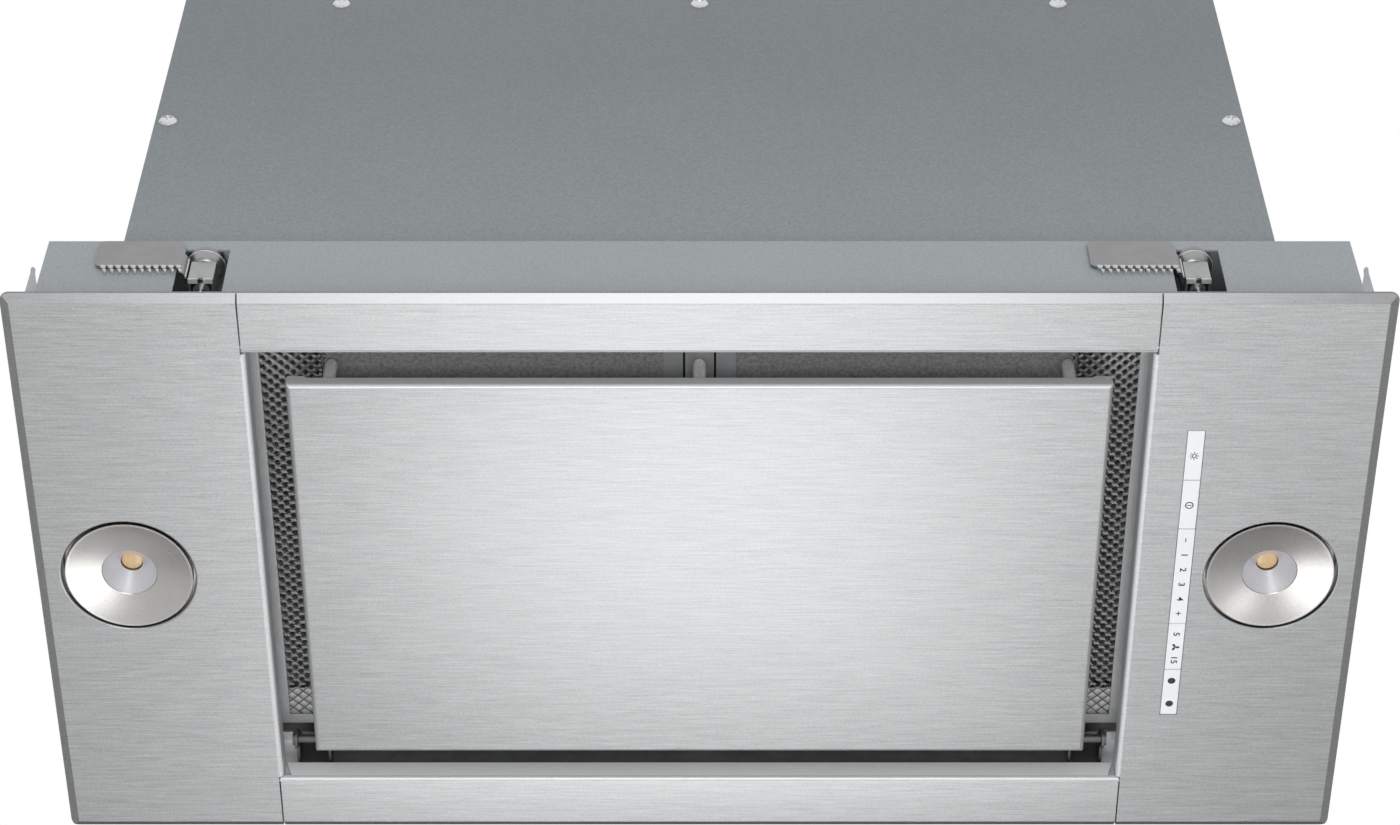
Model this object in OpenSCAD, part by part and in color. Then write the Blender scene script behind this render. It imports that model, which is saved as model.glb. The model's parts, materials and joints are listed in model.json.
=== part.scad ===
// Built-in range hood for a cabinet base, with a stainless fascia, an edge-extraction
// panel, two grease filters, two lamps, a key strip, a fan and a round exhaust spigot.
// Millimetres. +X is right, -Y is the cook's side, +Z is up into the cabinet.
// The origin is the middle of the cabinet cut-out, on the cabinet's underside.

/* [Fascia] */
// Width of the fascia
fascia_w = 580; // [560:1:600]
// Depth of the fascia
fascia_d = 293; // [287:1:300]
// Thickness of the stainless sheet
sheet = 1; // [0.8:0.1:1.2]
// Width of the bevel round the outer edge
bevel_w = 4; // [3:0.5:5]
// Height of the bevel
bevel_h = 2.5; // [2.2:0.1:3]
// Height of the upright edge above the bevel
edge_h = 1; // [0.8:0.1:1.5]
// Radius of the fascia's corners
corner_r = 4; // [3:0.5:6]
// Width of a side panel, from the fascia's edge to the seam
side_w = 98; // [96:0.5:100]
// Depth of the front strip
front_strip_d = 29; // [27:0.5:30]
// Depth of the rear strip
rear_strip_d = 30.5; // [29.5:0.5:31]
// Gap of the seams between strips and side panels
seam = 0.5; // [0.3:0.1:0.8]
// Height of the lips round the intake opening, above the face
lip_h = 11; // [10:0.5:12]
// Outer bend radius of those lips
bend_r = 2.1; // [1.5:0.1:3]
// Notch between a strip's lip and the side panel's lip
lip_notch = 3.4; // [3:0.2:5]

/* [Edge-extraction panel] */
// Intake gap at the left and right of the panel
gap_side = 15.65; // [14:0.05:17]
// Intake gap in front of the panel
gap_front = 16; // [15.5:0.5:17]
// Intake gap behind the panel
gap_rear = 16.7; // [16.5:0.1:17.5]
// Height of the panel's front and rear flange
flange_h = 6.3; // [6:0.1:6.5]
// Height of the panel's side flanges and front corner tabs
tab_h = 7.6; // [7.2:0.1:8]
// Width of the front corner tabs
tab_w = 8.5; // [7:0.5:10]
// Distance of the outer catch pegs from the panel's side edge
peg_in = 17.25; // [14.25:1:24.25]
// Radius of the catch pegs
peg_r = 2.75; // [2.5:0.05:2.9]
// Height of the peg tips above the face
peg_top = 24.2; // [22:0.1:24.6]
// Distance of the hinge arms from the panel's side edge
arm_in = 2.25; // [2.25:0.5:4.25]
// Thickness of the hinge arms
arm_t = 2; // [1.5:0.1:2]
// Radius of the hinge pins
hinge_r = 2; // [1.8:0.1:2.2]
// Distance of the hinge pins behind the panel
hinge_back = 2.7; // [2.5:0.1:3]
// Height of the hinge pins above the face
hinge_h = 11.5; // [11:0.1:12]

/* [Collar and housing] */
// Setback of the collar from the fascia's edge
setback = 11; // [10:0.5:12]
// Height of the collar above the cabinet's underside
collar_h = 56.5; // [56.5:0.5:60]
// Thickness of the painted sheet
steel = 1; // [0.8:0.1:1.2]
// Distance of the housing's sides from the collar's ends
house_in = 29; // [19:0.5:32]
// Setback of the housing's front and rear from the collar
house_back = 10; // [8:0.5:11]
// Height of the housing above the collar
housing_h = 240; // [236:1:250]
// Distance of the filters' underside above the face
filter_level = 28; // [27.5:0.5:29]

/* [Filters] */
// Play between a filter's outer end and the tray
filter_play = 1; // [0.9:0.1:5]
// Distance of a filter's rear edge from the tray's rear wall
filter_tail = 11.3; // [10.5:0.1:13.5]
// Thickness of a filter
filter_t = 10; // [9:0.5:10.5]
// Width of the filter frame at its left and right end
frame_end = 8.4; // [7:0.1:10]
// Width of the filter frame at front and back
frame_side = 5; // [4:0.5:6]
// Width of the bar between the filters
bar_w = 12.4; // [11:0.1:12.8]
// Gaps across the mesh
mesh_across = 10; // [6:1:12]
// Gaps along the mesh
mesh_along = 9; // [6:1:12]

/* [Lamps] */
// Distance of the lamps from the fascia's side edge
lamp_in = 41; // [40:0.5:45]
// Radius of the lamp's rim
lamp_r = 29.25; // [27:0.25:30]
// Gap round the lamp
lamp_gap = 0.75; // [0.5:0.05:1]
// Radius where the dish meets the inner cone
cone_r = 12.2; // [11:0.1:14]
// Depth of the inner cone
cone_h = 10.7; // [9:0.1:12]
// Radius of the light source
led_r = 4.7; // [4:0.1:5]
// Height of the lamp's cooling body
sink_h = 24; // [18:1:28]

/* [Key strip] */
// Distance of the key strip from the fascia's side edge
strip_in = 79; // [78:0.5:81]
// Width of the key strip
strip_w = 7.7; // [7:0.1:8.5]
// Length of one key
key_len = 26.1; // [24:0.1:27]
// Distance of the strip's front end behind the fascia's front edge
strip_s = 68.2; // [66:0.2:70]
// Gap round the keys
key_gap = 0.2; // [0.15:0.05:0.3]
// Travel of a push key
key_travel = 0.8; // [0.6:0.1:0.8]

/* [Clamps] */
// Distance of the clamps from the collar's ends
clamp_end = 68; // [65:0.5:70]
// Width of the slot that the claw swings through
slot_w = 21; // [20:0.5:23]
// Distance of the clamp screw behind the collar's face
clamp_in = 7; // [7:0.1:7.5]
// Radius of the clamp screw
clamp_r = 2; // [1.8:0.1:2.2]
// Reach of the toothed plate beyond the screw
claw_reach = 45.3; // [40:0.1:48]
// Height of the toothed plate
claw_h = 19.9; // [18:0.1:20.5]
// Distance between two teeth
tooth_pitch = 3.1; // [2.8:0.1:3.5]
// Travel of the claw down the screw
clamp_travel = 25; // [20:1:25]

/* [Fan and exhaust] */
// Outer radius of the exhaust spigot
spigot_r = 75; // [73:0.5:75]
// Height of the exhaust spigot
spigot_h = 40; // [36:1:60]
// Radius of the fan wheel
wheel_r = 82; // [78:1:84]
// Width of the fan wheel
wheel_w = 110; // [100:1:112]
// Blades of the fan wheel
blades = 36; // [24:2:40]
// Radius of the fan scroll
scroll_r = 110; // [108:1:111]
// Radius of the motor
motor_r = 40; // [36:1:44]
// Radius of the motor shaft
shaft_r = 5; // [4:0.5:6]
// Radius of the cable gland's bore
gland_r = 4.5; // [3.5:0.1:5]

/* [Hidden] */
$fn = 48;

// Heights: the face plane is the lowest, the cabinet's underside is z = 0
half_w = fascia_w / 2;
half_d = fascia_d / 2;
seam_x = half_w - side_w;
// A side panel's lip stands a bend further in than the seam
open_x = seam_x - bend_r;
open_front = -half_d + front_strip_d;
open_rear = half_d - rear_strip_d;
face_z = -bevel_h - edge_h;
inner_z = face_z + sheet;
filter_z = face_z + filter_level;
shelf_z = collar_h - steel;
// The rim and the hem carry the collar's flange inside the fascia
rim = 0.8;
rim_gap = 0.4;
hem_w = 9;
fit = 0.3;
run = 0.05;

// Collar, tray and housing
collar_x = half_w - setback;
collar_y = half_d - setback;
tray_x = seam_x + 6;
tray_front = open_front - 2;
tray_rear = open_rear + 2;
tray_flange = 12;
ledge_t = 1;
front_ledge_d = 12.5;
rear_ledge_d = 6;
house_x = collar_x - house_in;
house_y = collar_y - house_back;
house_top = collar_h + housing_h;
house_flange = 5;
house_return = 12;
screw_side_x = house_x - 6;
screw_side_z = 175.5;
screw_top_x = house_x - 76;
screw_top_z = house_top - 8;
screw_r = 1.6;
screw_head_r = 4.2;
screw_head_h = 2.4;
rivet_x = house_x - 52;
rivet_r = 1.6;
rivet_head_r = 2.4;
rivet_y = house_y + rivet_head_r + 0.2;

// Edge-extraction panel
panel_x = open_x - gap_side;
panel_front = open_front + gap_front;
panel_rear = open_rear - gap_rear;
peg_x = panel_x - peg_in;
arm_x = panel_x - arm_in;
panel_r = 2;
back_gap = 1;
back_z = inner_z + sheet;
peg_y = panel_front + sheet + peg_r + 0.45;
pin_y = panel_rear + hinge_back;
pin_z = face_z + hinge_h;
cheek_t = 1.2;
bracket_in = arm_x - arm_t / 2 - 2;
bracket_out = arm_x + 12.5;

// Filters
filter_in = bar_w / 2 + 0.9;
filter_out = tray_x - filter_play;
filter_front = tray_front + 9;
filter_rear = tray_rear - filter_tail;
filter_mid = (filter_in + filter_out) / 2;
skin = 0.8;
web = 2.4;
latch_w = 24;
bolt_t = 3;
bolt_out = tray_rear - 4.5;

// Lamps
lamp_x = half_w - lamp_in;
lamp_y = 0;
dish = 1;
sleeve_h = 13;
sleeve_r = lamp_r - 3;
sink_z = face_z + sleeve_h;

// Key strip
strip_x = half_w - strip_in;
strip_front = -half_d + strip_s;
key_w = strip_w - 2 * key_gap;
key_top = 2;
key_lip = 1.2;
box_wall = 1;
box_skin = 0.5;
box_w = strip_w + 4.6;
box_top = 12;
board_z = 6;

// Clamps: 1 and 2 at the front, 3 and 4 at the back, turned half round
clamp_x = collar_x - clamp_end;
CLAMPS = [[-clamp_x, 0], [clamp_x, 0], [clamp_x, 180], [-clamp_x, 180]];
hub_low = 28;
slot_low = hub_low - clamp_travel - 1;
plate_t = 1.2;
claw_low = 34;
hub_r = clamp_in + 0.5 + plate_t;
hub_top = claw_low + 15.4;
slot_top = hub_top + fit;
nut_r = clamp_r + 1.5;
tooth_h = 3.3;
guide_y = hub_r + fit;
tongue = 1.5;
guide_mid = collar_y - clamp_in - guide_y - steel / 2;

// Fan and exhaust
fan_y = -10;
fan_z = collar_h + 109.5;
scroll_x = wheel_w / 2 + 11;
scroll_z = collar_h + 115.5;
scroll_t = 2;
neck_z = scroll_z + 88;
neck_r = spigot_r - 1;
root_r = spigot_r - 0.6;
inlet_r = wheel_r - 16;
spigot_t = 1.8;
bead_w = 10;
bead_h = 1.5;
flap_t = 1.2;
flap_pin_r = 1.5;
flap_z = house_top + 6.5;
knuckle_r = 2.6;
seat_z = flap_z - 1.8;
seat_t = 1.6;
seat_w = 3.2;
gland_x = -house_x + 60;
gland_y = 60;

STAINLESS = [0.78, 0.79, 0.80];
GREY = [0.56, 0.58, 0.60];
DARK = [0.30, 0.31, 0.32];
ZINC = [0.66, 0.67, 0.68];

// A block between two corners, given as ranges along X, Y and Z
module block(x, y, z) {
    translate([x[0], y[0], z[0]])
        cube([x[1] - x[0], y[1] - y[0], z[1] - z[0]]);
}

// Draws an outline of Y and Z along X
module along_x(x) {
    translate([x[0], 0, 0])
        rotate([90, 0, 90])
            linear_extrude(x[1] - x[0])
                children();
}

// Draws an outline of X and Z along Y
module along_y(y) {
    translate([0, y[1], 0])
        rotate([90, 0, 0])
            linear_extrude(y[1] - y[0])
                children();
}

// A round bar along X, at a place in Y and Z
module bar_x(x, y, z, r) {
    translate([x[0], y, z])
        rotate([0, 90, 0])
            cylinder(h = x[1] - x[0], r = r);
}

// A round bar along Y, at a place in X and Z
module bar_y(y, x, z, r) {
    translate([x, y[1], z])
        rotate([90, 0, 0])
            cylinder(h = y[1] - y[0], r = r);
}

// A rectangle in the middle, with round corners
module round_rect(w, d, r) {
    square([w - 2 * r, d], center = true);
    square([w, d - 2 * r], center = true);
    for (x = [-1, 1], y = [-1, 1])
        translate([x * (w / 2 - r), y * (d / 2 - r)])
            circle(r);
}

// Left and right copy
module both_sides() {
    children();
    mirror([1, 0, 0])
        children();
}

// The whole fascia as a bevelled slab, before it is hollowed and parted
module fascia_slab() {
    intersection() {
        along_y([-half_d, half_d])
            polygon([[-half_w, 0], [-half_w, -edge_h], [-half_w + bevel_w, face_z],
                     [half_w - bevel_w, face_z], [half_w, -edge_h], [half_w, 0]]);
        along_x([-half_w, half_w])
            polygon([[-half_d, 0], [-half_d, -edge_h], [-half_d + bevel_w, face_z],
                     [half_d - bevel_w, face_z], [half_d, -edge_h], [half_d, 0]]);
        translate([0, 0, face_z])
            linear_extrude(-face_z)
                round_rect(fascia_w, fascia_d, corner_r);
    }
}

// The hollow inside the fascia: a recess for the collar's flange, and the space above the face
module fascia_hollow() {
    translate([0, 0, -edge_h])
        linear_extrude(edge_h + 1)
            round_rect(fascia_w - 2 * rim, fascia_d - 2 * rim, corner_r - rim);
    block([-half_w + hem_w, half_w - hem_w], [-half_d + hem_w, half_d - hem_w],
          [inner_z, 0]);
}

// A bent lip beside an opening edge at 0, its metal on the negative side
module lip_outline() {
    translate([-sheet, face_z + bend_r])
        square([sheet, lip_h - bend_r]);
    translate([-bend_r, face_z + bend_r])
        intersection() {
            translate([0, -bend_r])
                square([bend_r, bend_r]);
            difference() {
                circle(bend_r);
                circle(bend_r - sheet);
            }
        }
}

// Left side panel of the fascia, with its round lamp hole
module side_panel() {
    difference() {
        intersection() {
            fascia_slab();
            block([-half_w, -seam_x], [-half_d, half_d], [face_z, 0]);
        }
        fascia_hollow();
        translate([-lamp_x, lamp_y, face_z - 1])
            cylinder(h = sheet + 2, r = lamp_r + lamp_gap);
    }
    along_y([open_front + seam, open_rear - seam])
        translate([-open_x, 0])
            lip_outline();
}

module fascia_left() {
    color(STAINLESS)
        side_panel();
}

module fascia_right() {
    color(STAINLESS)
        difference() {
            mirror([1, 0, 0])
                side_panel();
            block([strip_x - strip_w / 2, strip_x + strip_w / 2],
                  [strip_front, strip_front + 6 * key_len], [face_z - 1, inner_z + 1]);
        }
}

// Front strip; its bent lip faces back into the opening
module strip(y0, y1) {
    intersection() {
        difference() {
            fascia_slab();
            fascia_hollow();
        }
        block([-seam_x + seam, seam_x - seam], [y0, y1], [face_z, 0]);
    }
}

module front_strip() {
    lip_x = open_x - lip_notch;
    color(STAINLESS) {
        strip(-half_d, open_front - bend_r);
        along_x([-seam_x + seam, seam_x - seam])
            translate([open_front, 0])
                intersection() {
                    lip_outline();
                    translate([-bend_r, face_z])
                        square([bend_r, bend_r]);
                }
        along_x([-lip_x, lip_x])
            translate([open_front, 0])
                lip_outline();
    }
}

module rear_strip() {
    lip_x = open_x - lip_notch;
    color(STAINLESS) {
        strip(open_rear + bend_r, half_d);
        along_x([-seam_x + seam, seam_x - seam])
            translate([open_rear, 0])
                mirror([1, 0])
                    intersection() {
                        lip_outline();
                        translate([-bend_r, face_z])
                            square([bend_r, bend_r]);
                    }
        along_x([-lip_x, lip_x])
            translate([open_rear, 0])
                mirror([1, 0])
                    lip_outline();
    }
}

// An upright outline with its two lower corners rounded
module round_bottom(a, b, z0, z1, r) {
    translate([a, z0 + r])
        square([b - a, z1 - z0 - r]);
    translate([a + r, z0])
        square([b - a - 2 * r, r]);
    translate([a + r, z0 + r])
        circle(r);
    translate([b - r, z0 + r])
        circle(r);
}

// The panel that hides the filters: a folded stainless pan
module deflector_panel() {
    top = face_z + tab_h;
    low = face_z + flange_h;
    slope = tab_h - flange_h + 1;
    inner = panel_x - tab_w;
    color(STAINLESS)
        difference() {
            intersection() {
                along_y([panel_front, panel_rear])
                    round_bottom(-panel_x, panel_x, face_z, top, panel_r);
                along_x([-panel_x, panel_x])
                    round_bottom(panel_front, panel_rear, face_z, top, panel_r);
            }
            block([-panel_x + sheet, panel_x - sheet],
                  [panel_front + sheet, panel_rear - sheet], [inner_z, top + 1]);
            // The front flange is lower between its corner tabs
            along_y([panel_front - 1, panel_front + sheet])
                polygon([[-inner, low], [inner, low], [inner + slope, top + 1],
                         [-inner - slope, top + 1]]);
            // The rear flange is low all along, under the hinge arms
            block([-panel_x + sheet, panel_x - sheet],
                  [panel_rear - sheet, panel_rear + 1], [low, top + 1]);
        }
}

// One hinge arm, as an outline of Y and Z, with the eye for its pin
module arm_outline() {
    difference() {
        union() {
            translate([pin_y, pin_z])
                circle(hinge_r + 2.6);
            polygon([[panel_rear - 24, back_z], [panel_rear - sheet - 0.5, back_z],
                     [panel_rear - sheet - 0.5, face_z + flange_h + 0.3],
                     [pin_y - 2, face_z + flange_h + 1.1], [pin_y, pin_z],
                     [pin_y - 3.4, pin_z + 3], [panel_rear - 18, back_z + 4]]);
        }
        translate([pin_y, pin_z])
            circle(hinge_r + run);
    }
}

// Stiffening plate in the panel, with two ribs and the hinge arms
module deflector_backing() {
    edge_x = panel_x - sheet - back_gap;
    front = panel_front + sheet + 0.2;
    rear = panel_rear - sheet - back_gap;
    rib_w = 12;
    rib_h = 3;
    color(ZINC) {
        difference() {
            block([-edge_x, edge_x], [front, rear], [inner_z, back_z]);
            for (x = [-peg_x, 0, peg_x])
                translate([x, peg_y, inner_z - 1])
                    cylinder(h = 3, r = 1.5);
        }
        for (y = [-45, 45])
            block([-edge_x + 12, edge_x - 12], [y - rib_w / 2, y + rib_w / 2],
                  [back_z, back_z + rib_h]);
        both_sides()
            along_x([-arm_x - arm_t / 2, -arm_x + arm_t / 2])
                arm_outline();
    }
}

// Three round-topped pegs behind the panel's front flange
module catch_pegs() {
    tip = face_z + peg_top;
    color([0.8, 0.81, 0.82])
        for (x = [-peg_x, 0, peg_x])
            translate([x, peg_y, 0]) {
                translate([0, 0, inner_z])
                    cylinder(h = sheet, r = 1.5);
                translate([0, 0, back_z])
                    cylinder(h = tip - peg_r - back_z, r = peg_r);
                translate([0, 0, tip - peg_r])
                    sphere(peg_r);
            }
}

// Spring leaves under the tray's front ledge, each beside an outer peg
module catch_clips() {
    leaf = 0.6;
    base_y = tray_front + front_ledge_d;
    top = filter_z - ledge_t;
    near = peg_r + 0.35;
    color(ZINC)
        both_sides()
            translate([-peg_x, 0, 0]) {
                block([-near - leaf, 5], [tray_front + 2, base_y], [top - leaf, top]);
                block([-near - leaf, 5], [base_y - leaf, base_y], [top - 9, top - leaf]);
                block([-near - leaf, -near], [base_y - leaf, peg_y + peg_r + 1],
                      [top - 9, top - 4]);
            }
}

// One cheek of a hinge bracket, as an outline of Y and Z
module cheek_outline() {
    difference() {
        union() {
            translate([pin_y, pin_z])
                circle(hinge_r + 2.6);
            polygon([[pin_y - 3.2, pin_z + 3.2], [pin_y, pin_z], [pin_y + 4, pin_z + 0.8],
                     [tray_rear, pin_z + 0.8], [tray_rear, filter_z - 1],
                     [tray_rear - 5, filter_z - 1]]);
        }
        translate([pin_y, pin_z])
            circle(hinge_r);
    }
}

// Two forked brackets on the tray's rear wall
module hinge_brackets() {
    color(DARK)
        both_sides() {
            block([-bracket_out, -bracket_in], [tray_rear - cheek_t, tray_rear],
                  [pin_z + 0.8, filter_z - 1]);
            along_x([-bracket_out, -bracket_out + cheek_t])
                cheek_outline();
            along_x([-bracket_in - cheek_t, -bracket_in])
                cheek_outline();
        }
}

module hinge_pins() {
    color(ZINC)
        both_sides() {
            bar_x([-bracket_out, -bracket_in + 0.8], pin_y, pin_z, hinge_r);
            bar_x([-bracket_out - 1.2, -bracket_out], pin_y, pin_z, hinge_r + 1.2);
        }
}

// Places a clamp piece; the screw's axis is its own Z axis, and -Y points outwards
module at_clamp(i) {
    rotate([0, 0, CLAMPS[i][1]])
        translate([CLAMPS[i][1] == 0 ? CLAMPS[i][0] : -CLAMPS[i][0],
                   -collar_y + clamp_in, 0])
            children();
}

// Painted collar: walls, an outward flange under the cabinet and a shelf on top
module collar() {
    color(GREY) {
        difference() {
            union() {
                block([-collar_x, collar_x], [-collar_y, collar_y], [-edge_h, collar_h]);
                translate([0, 0, -edge_h])
                    linear_extrude(edge_h)
                        round_rect(fascia_w - 2 * rim - 2 * rim_gap,
                                   fascia_d - 2 * rim - 2 * rim_gap,
                                   corner_r - rim - rim_gap);
            }
            block([-collar_x + steel, collar_x - steel],
                  [-collar_y + steel, collar_y - steel], [-edge_h - 1, shelf_z]);
            block([-tray_x, tray_x], [tray_front, tray_rear], [shelf_z - 1, collar_h + 1]);
            for (i = [0:3])
                at_clamp(i)
                    block([-slot_w / 2, slot_w / 2], [-clamp_in - 1, -clamp_in + steel + 1],
                          [slot_low, slot_top]);
            for (x = [-rivet_x, rivet_x], y = [-rivet_y, rivet_y])
                translate([x, y, shelf_z - 1])
                    cylinder(h = steel + 2, r = rivet_r);
        }
        // Each clamp has a guide that hangs from the shelf and ends in a foot for its screw
        for (i = [0:3])
            at_clamp(i) {
                block([-8, 8], [guide_y, guide_y + steel], [0, shelf_z]);
                difference() {
                    block([-8, 8], [-clamp_in + steel, guide_y], [0, steel]);
                    translate([0, 0, -1])
                        cylinder(h = steel + 2, r = clamp_r + run);
                }
            }
    }
}

// Sheet tray that leads from the opening to the filters and carries them
module intake_tray() {
    color(ZINC) {
        difference() {
            union() {
                block([-tray_x - steel, tray_x + steel],
                      [tray_front - steel, tray_rear + steel], [inner_z + 0.2, shelf_z]);
                block([-tray_x - 6, tray_x + 6],
                      [tray_front - tray_flange, tray_rear + tray_flange],
                      [shelf_z - steel, shelf_z]);
            }
            block([-tray_x, tray_x], [tray_front, tray_rear], [inner_z - 1, shelf_z + 1]);
            // The flange is notched for the clamp guides
            both_sides()
                for (y = [-guide_mid, guide_mid])
                    block([-clamp_x - 8, -clamp_x + 8 + 2 * fit], [y - steel, y + steel],
                          [shelf_z - steel - 1, shelf_z + 1]);
            for (x = [-rivet_x, rivet_x], y = [-rivet_y, rivet_y])
                translate([x, y, shelf_z - steel - 1])
                    cylinder(h = steel + 2, r = rivet_r);
        }
        block([-tray_x, tray_x], [tray_front, tray_front + front_ledge_d],
              [filter_z - ledge_t, filter_z]);
        block([-tray_x, tray_x], [tray_rear - rear_ledge_d, tray_rear],
              [filter_z - 0.3, filter_z - 0.3 + ledge_t]);
    }
}

// Channel between the two filters
module centre_bar() {
    end_y = tray_rear - rear_ledge_d;
    color([0.48, 0.48, 0.48])
        difference() {
            block([-bar_w / 2, bar_w / 2], [tray_front, end_y],
                  [filter_z, filter_z + filter_t]);
            block([-bar_w / 2 + steel, bar_w / 2 - steel], [tray_front - 1, end_y + 1],
                  [filter_z + steel, filter_z + filter_t + 1]);
        }
}

// Side and rear walls of the housing, with their inward flanges
module housing_body() {
    low = collar_h;
    high = house_top - steel;
    color(GREY)
        difference() {
            block([-house_x, house_x], [-house_y + steel, house_y], [low, high]);
            block([-house_x + steel, house_x - steel], [-house_y + 2 * steel, house_y - steel],
                  [low + steel, high + 1]);
            block([-house_x + steel + house_flange, house_x - steel - house_flange],
                  [-house_y, house_y - steel - house_flange], [low - 1, low + steel + 1]);
            block([-house_x + house_return, house_x - house_return],
                  [-house_y, -house_y + 3 * steel], [low + steel, high + 1]);
            for (x = [-screw_side_x, screw_side_x])
                bar_y([-house_y, -house_y + 3 * steel], x, screw_side_z, screw_r);
            for (x = [-screw_top_x, screw_top_x])
                bar_y([house_y - 2 * steel, house_y + steel], x, screw_top_z, screw_r);
        }
}

// Front sheet of the housing
module housing_front() {
    color(GREY)
        difference() {
            block([-house_x, house_x], [-house_y, -house_y + steel],
                  [collar_h, house_top - steel]);
            for (x = [-screw_side_x, screw_side_x])
                bar_y([-house_y - 1, -house_y + 2 * steel], x, screw_side_z, screw_r);
            for (x = [-screw_top_x, 0, screw_top_x])
                bar_y([-house_y - 1, -house_y + 2 * steel], x, screw_top_z, screw_r);
        }
}

// Lid of the housing, with folded tabs for its screws
module housing_top() {
    tab_x = house_x - house_return - fit;
    tab_z = house_top - 15;
    color(GREY)
        difference() {
            union() {
                block([-house_x, house_x], [-house_y, house_y],
                      [house_top - steel, house_top]);
                translate([0, 0, house_top])
                    cylinder(h = bead_h, r = spigot_r + bead_w, $fn = 96);
                block([-tab_x, tab_x], [-house_y + steel, -house_y + 2 * steel],
                      [tab_z, house_top - steel]);
                block([-tab_x, tab_x], [house_y - 2 * steel, house_y - steel],
                      [tab_z, house_top - steel]);
            }
            translate([0, 0, house_top - steel - 1])
                cylinder(h = steel + bead_h + 2, r = root_r + run, $fn = 96);
            translate([gland_x, gland_y, house_top - steel - 1])
                cylinder(h = steel + 2, r = gland_r + 3.5);
            for (x = [-screw_top_x, 0, screw_top_x])
                bar_y([-house_y, -house_y + 3 * steel], x, screw_top_z, screw_r);
            for (x = [-screw_top_x, screw_top_x])
                bar_y([house_y - 3 * steel, house_y], x, screw_top_z, screw_r);
        }
}

// One pan-head screw that enters along +Y, its head's underside at y = 0
module pan_screw() {
    bar_y([0, 7], 0, 0, screw_r);
    difference() {
        intersection() {
            bar_y([-screw_head_h, 0], 0, 0, screw_head_r);
            translate([0, 2.6, 0])
                sphere(screw_head_r + 0.95);
        }
        block([-2, 2], [-screw_head_h - 1, -screw_head_h + 1], [-0.5, 0.5]);
        block([-0.5, 0.5], [-screw_head_h - 1, -screw_head_h + 1], [-2, 2]);
    }
}

module housing_screws() {
    color([0.78, 0.79, 0.8]) {
        for (x = [-screw_side_x, screw_side_x])
            translate([x, -house_y, screw_side_z])
                pan_screw();
        for (x = [-screw_top_x, 0, screw_top_x])
            translate([x, -house_y, screw_top_z])
                pan_screw();
        for (x = [-screw_top_x, screw_top_x])
            translate([x, house_y, screw_top_z])
                rotate([0, 0, 180])
                    pan_screw();
    }
}

// Rivets that hold the tray's flange under the collar's shelf
module shelf_rivets() {
    color([0.75, 0.76, 0.77])
        for (x = [-rivet_x, rivet_x], y = [-rivet_y, rivet_y])
            translate([x, y, 0]) {
                translate([0, 0, shelf_z - steel - 0.6])
                    cylinder(h = 2 * steel + 1.2, r = rivet_r);
                translate([0, 0, shelf_z - steel - 0.8])
                    cylinder(h = 0.8, r = rivet_head_r);
                translate([0, 0, collar_h])
                    intersection() {
                        cylinder(h = 1.4, r = rivet_head_r);
                        translate([0, 0, -1.8])
                            sphere(3);
                    }
            }
}

// Barbed leaves beside the front corners that hold the hood while it is clamped
module side_barbs() {
    out = 4.5;
    low = 2.6;
    color(ZINC)
        both_sides()
            translate([-collar_x, -collar_y + steel, 0]) {
                block([-0.8, 0], [0, 26], [low, 22]);
                along_y([0, 0.9])
                    polygon([[0, low], [-out, low], [-out, 33], [-out - 0.4, 36.5],
                             [-out + 0.2, 38], [-out + 1.6, 36.4], [-out + 2, 33],
                             [-0.4, 24], [0, 22]]);
            }
}

// Right filter's frame: a channel all round, open inwards, and a plate for the latch
module filter_frame() {
    low = filter_z;
    high = filter_z + filter_t;
    difference() {
        block([filter_in, filter_out], [filter_front, filter_rear], [low, high]);
        block([filter_in + frame_end, filter_out - frame_end],
              [filter_front + frame_side, filter_rear - frame_side], [low - 1, high + 1]);
        block([filter_in + skin, filter_out - skin],
              [filter_front + skin, filter_rear - skin], [low + skin, high - skin]);
        block([filter_mid - latch_w / 2 - fit, filter_mid + latch_w / 2 + fit],
              [filter_rear - 2, filter_rear + 1], [low + skin, low + skin + bolt_t + fit]);
    }
    difference() {
        block([filter_mid - latch_w / 2 - 4, filter_mid + latch_w / 2 + 4],
              [filter_rear - 24, filter_rear - frame_side], [low, low + skin]);
        block([filter_mid - latch_w / 2 - fit, filter_mid + latch_w / 2 + fit],
              [filter_rear - 21, filter_rear - 12], [low - 1, low + skin + 1]);
    }
}

// Right filter's mesh: three nets of diamond gaps, held in the frame's channel
module filter_mesh() {
    x0 = filter_in + skin;
    x1 = filter_out - skin;
    y0 = filter_front + skin;
    y1 = filter_rear - skin;
    across = (x1 - x0 - 2 * frame_end) / mesh_across;
    along = (y1 - y0 - 2 * frame_side) / mesh_along;
    levels = [skin, (filter_t - skin) / 2, filter_t - 2 * skin];
    // The middle net lies half a gap further on
    shift = [0, 1, 0];
    for (k = [0:2])
        translate([0, 0, filter_z + levels[k]])
            linear_extrude(skin)
                difference() {
                    translate([x0, y0])
                        square([x1 - x0, y1 - y0]);
                    if (k == 0)
                        translate([filter_mid - latch_w / 2 - 5, filter_rear - 25])
                            square([latch_w + 10, 26]);
                    for (i = [0:mesh_across - 1 - shift[k]], j = [0:mesh_along - 1 - shift[k]])
                        if (abs(i - (mesh_across - 1) / 2) > 1.6 || j < mesh_along - 1)
                            translate([x0 + frame_end + (i + 0.5 + shift[k] / 2) * across,
                                       y0 + frame_side + (j + 0.5 + shift[k] / 2) * along])
                                polygon([[-across / 2 + web / 2, 0], [0, -along / 2 + web / 2],
                                         [across / 2 - web / 2, 0], [0, along / 2 - web / 2]]);
                }
}

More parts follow.
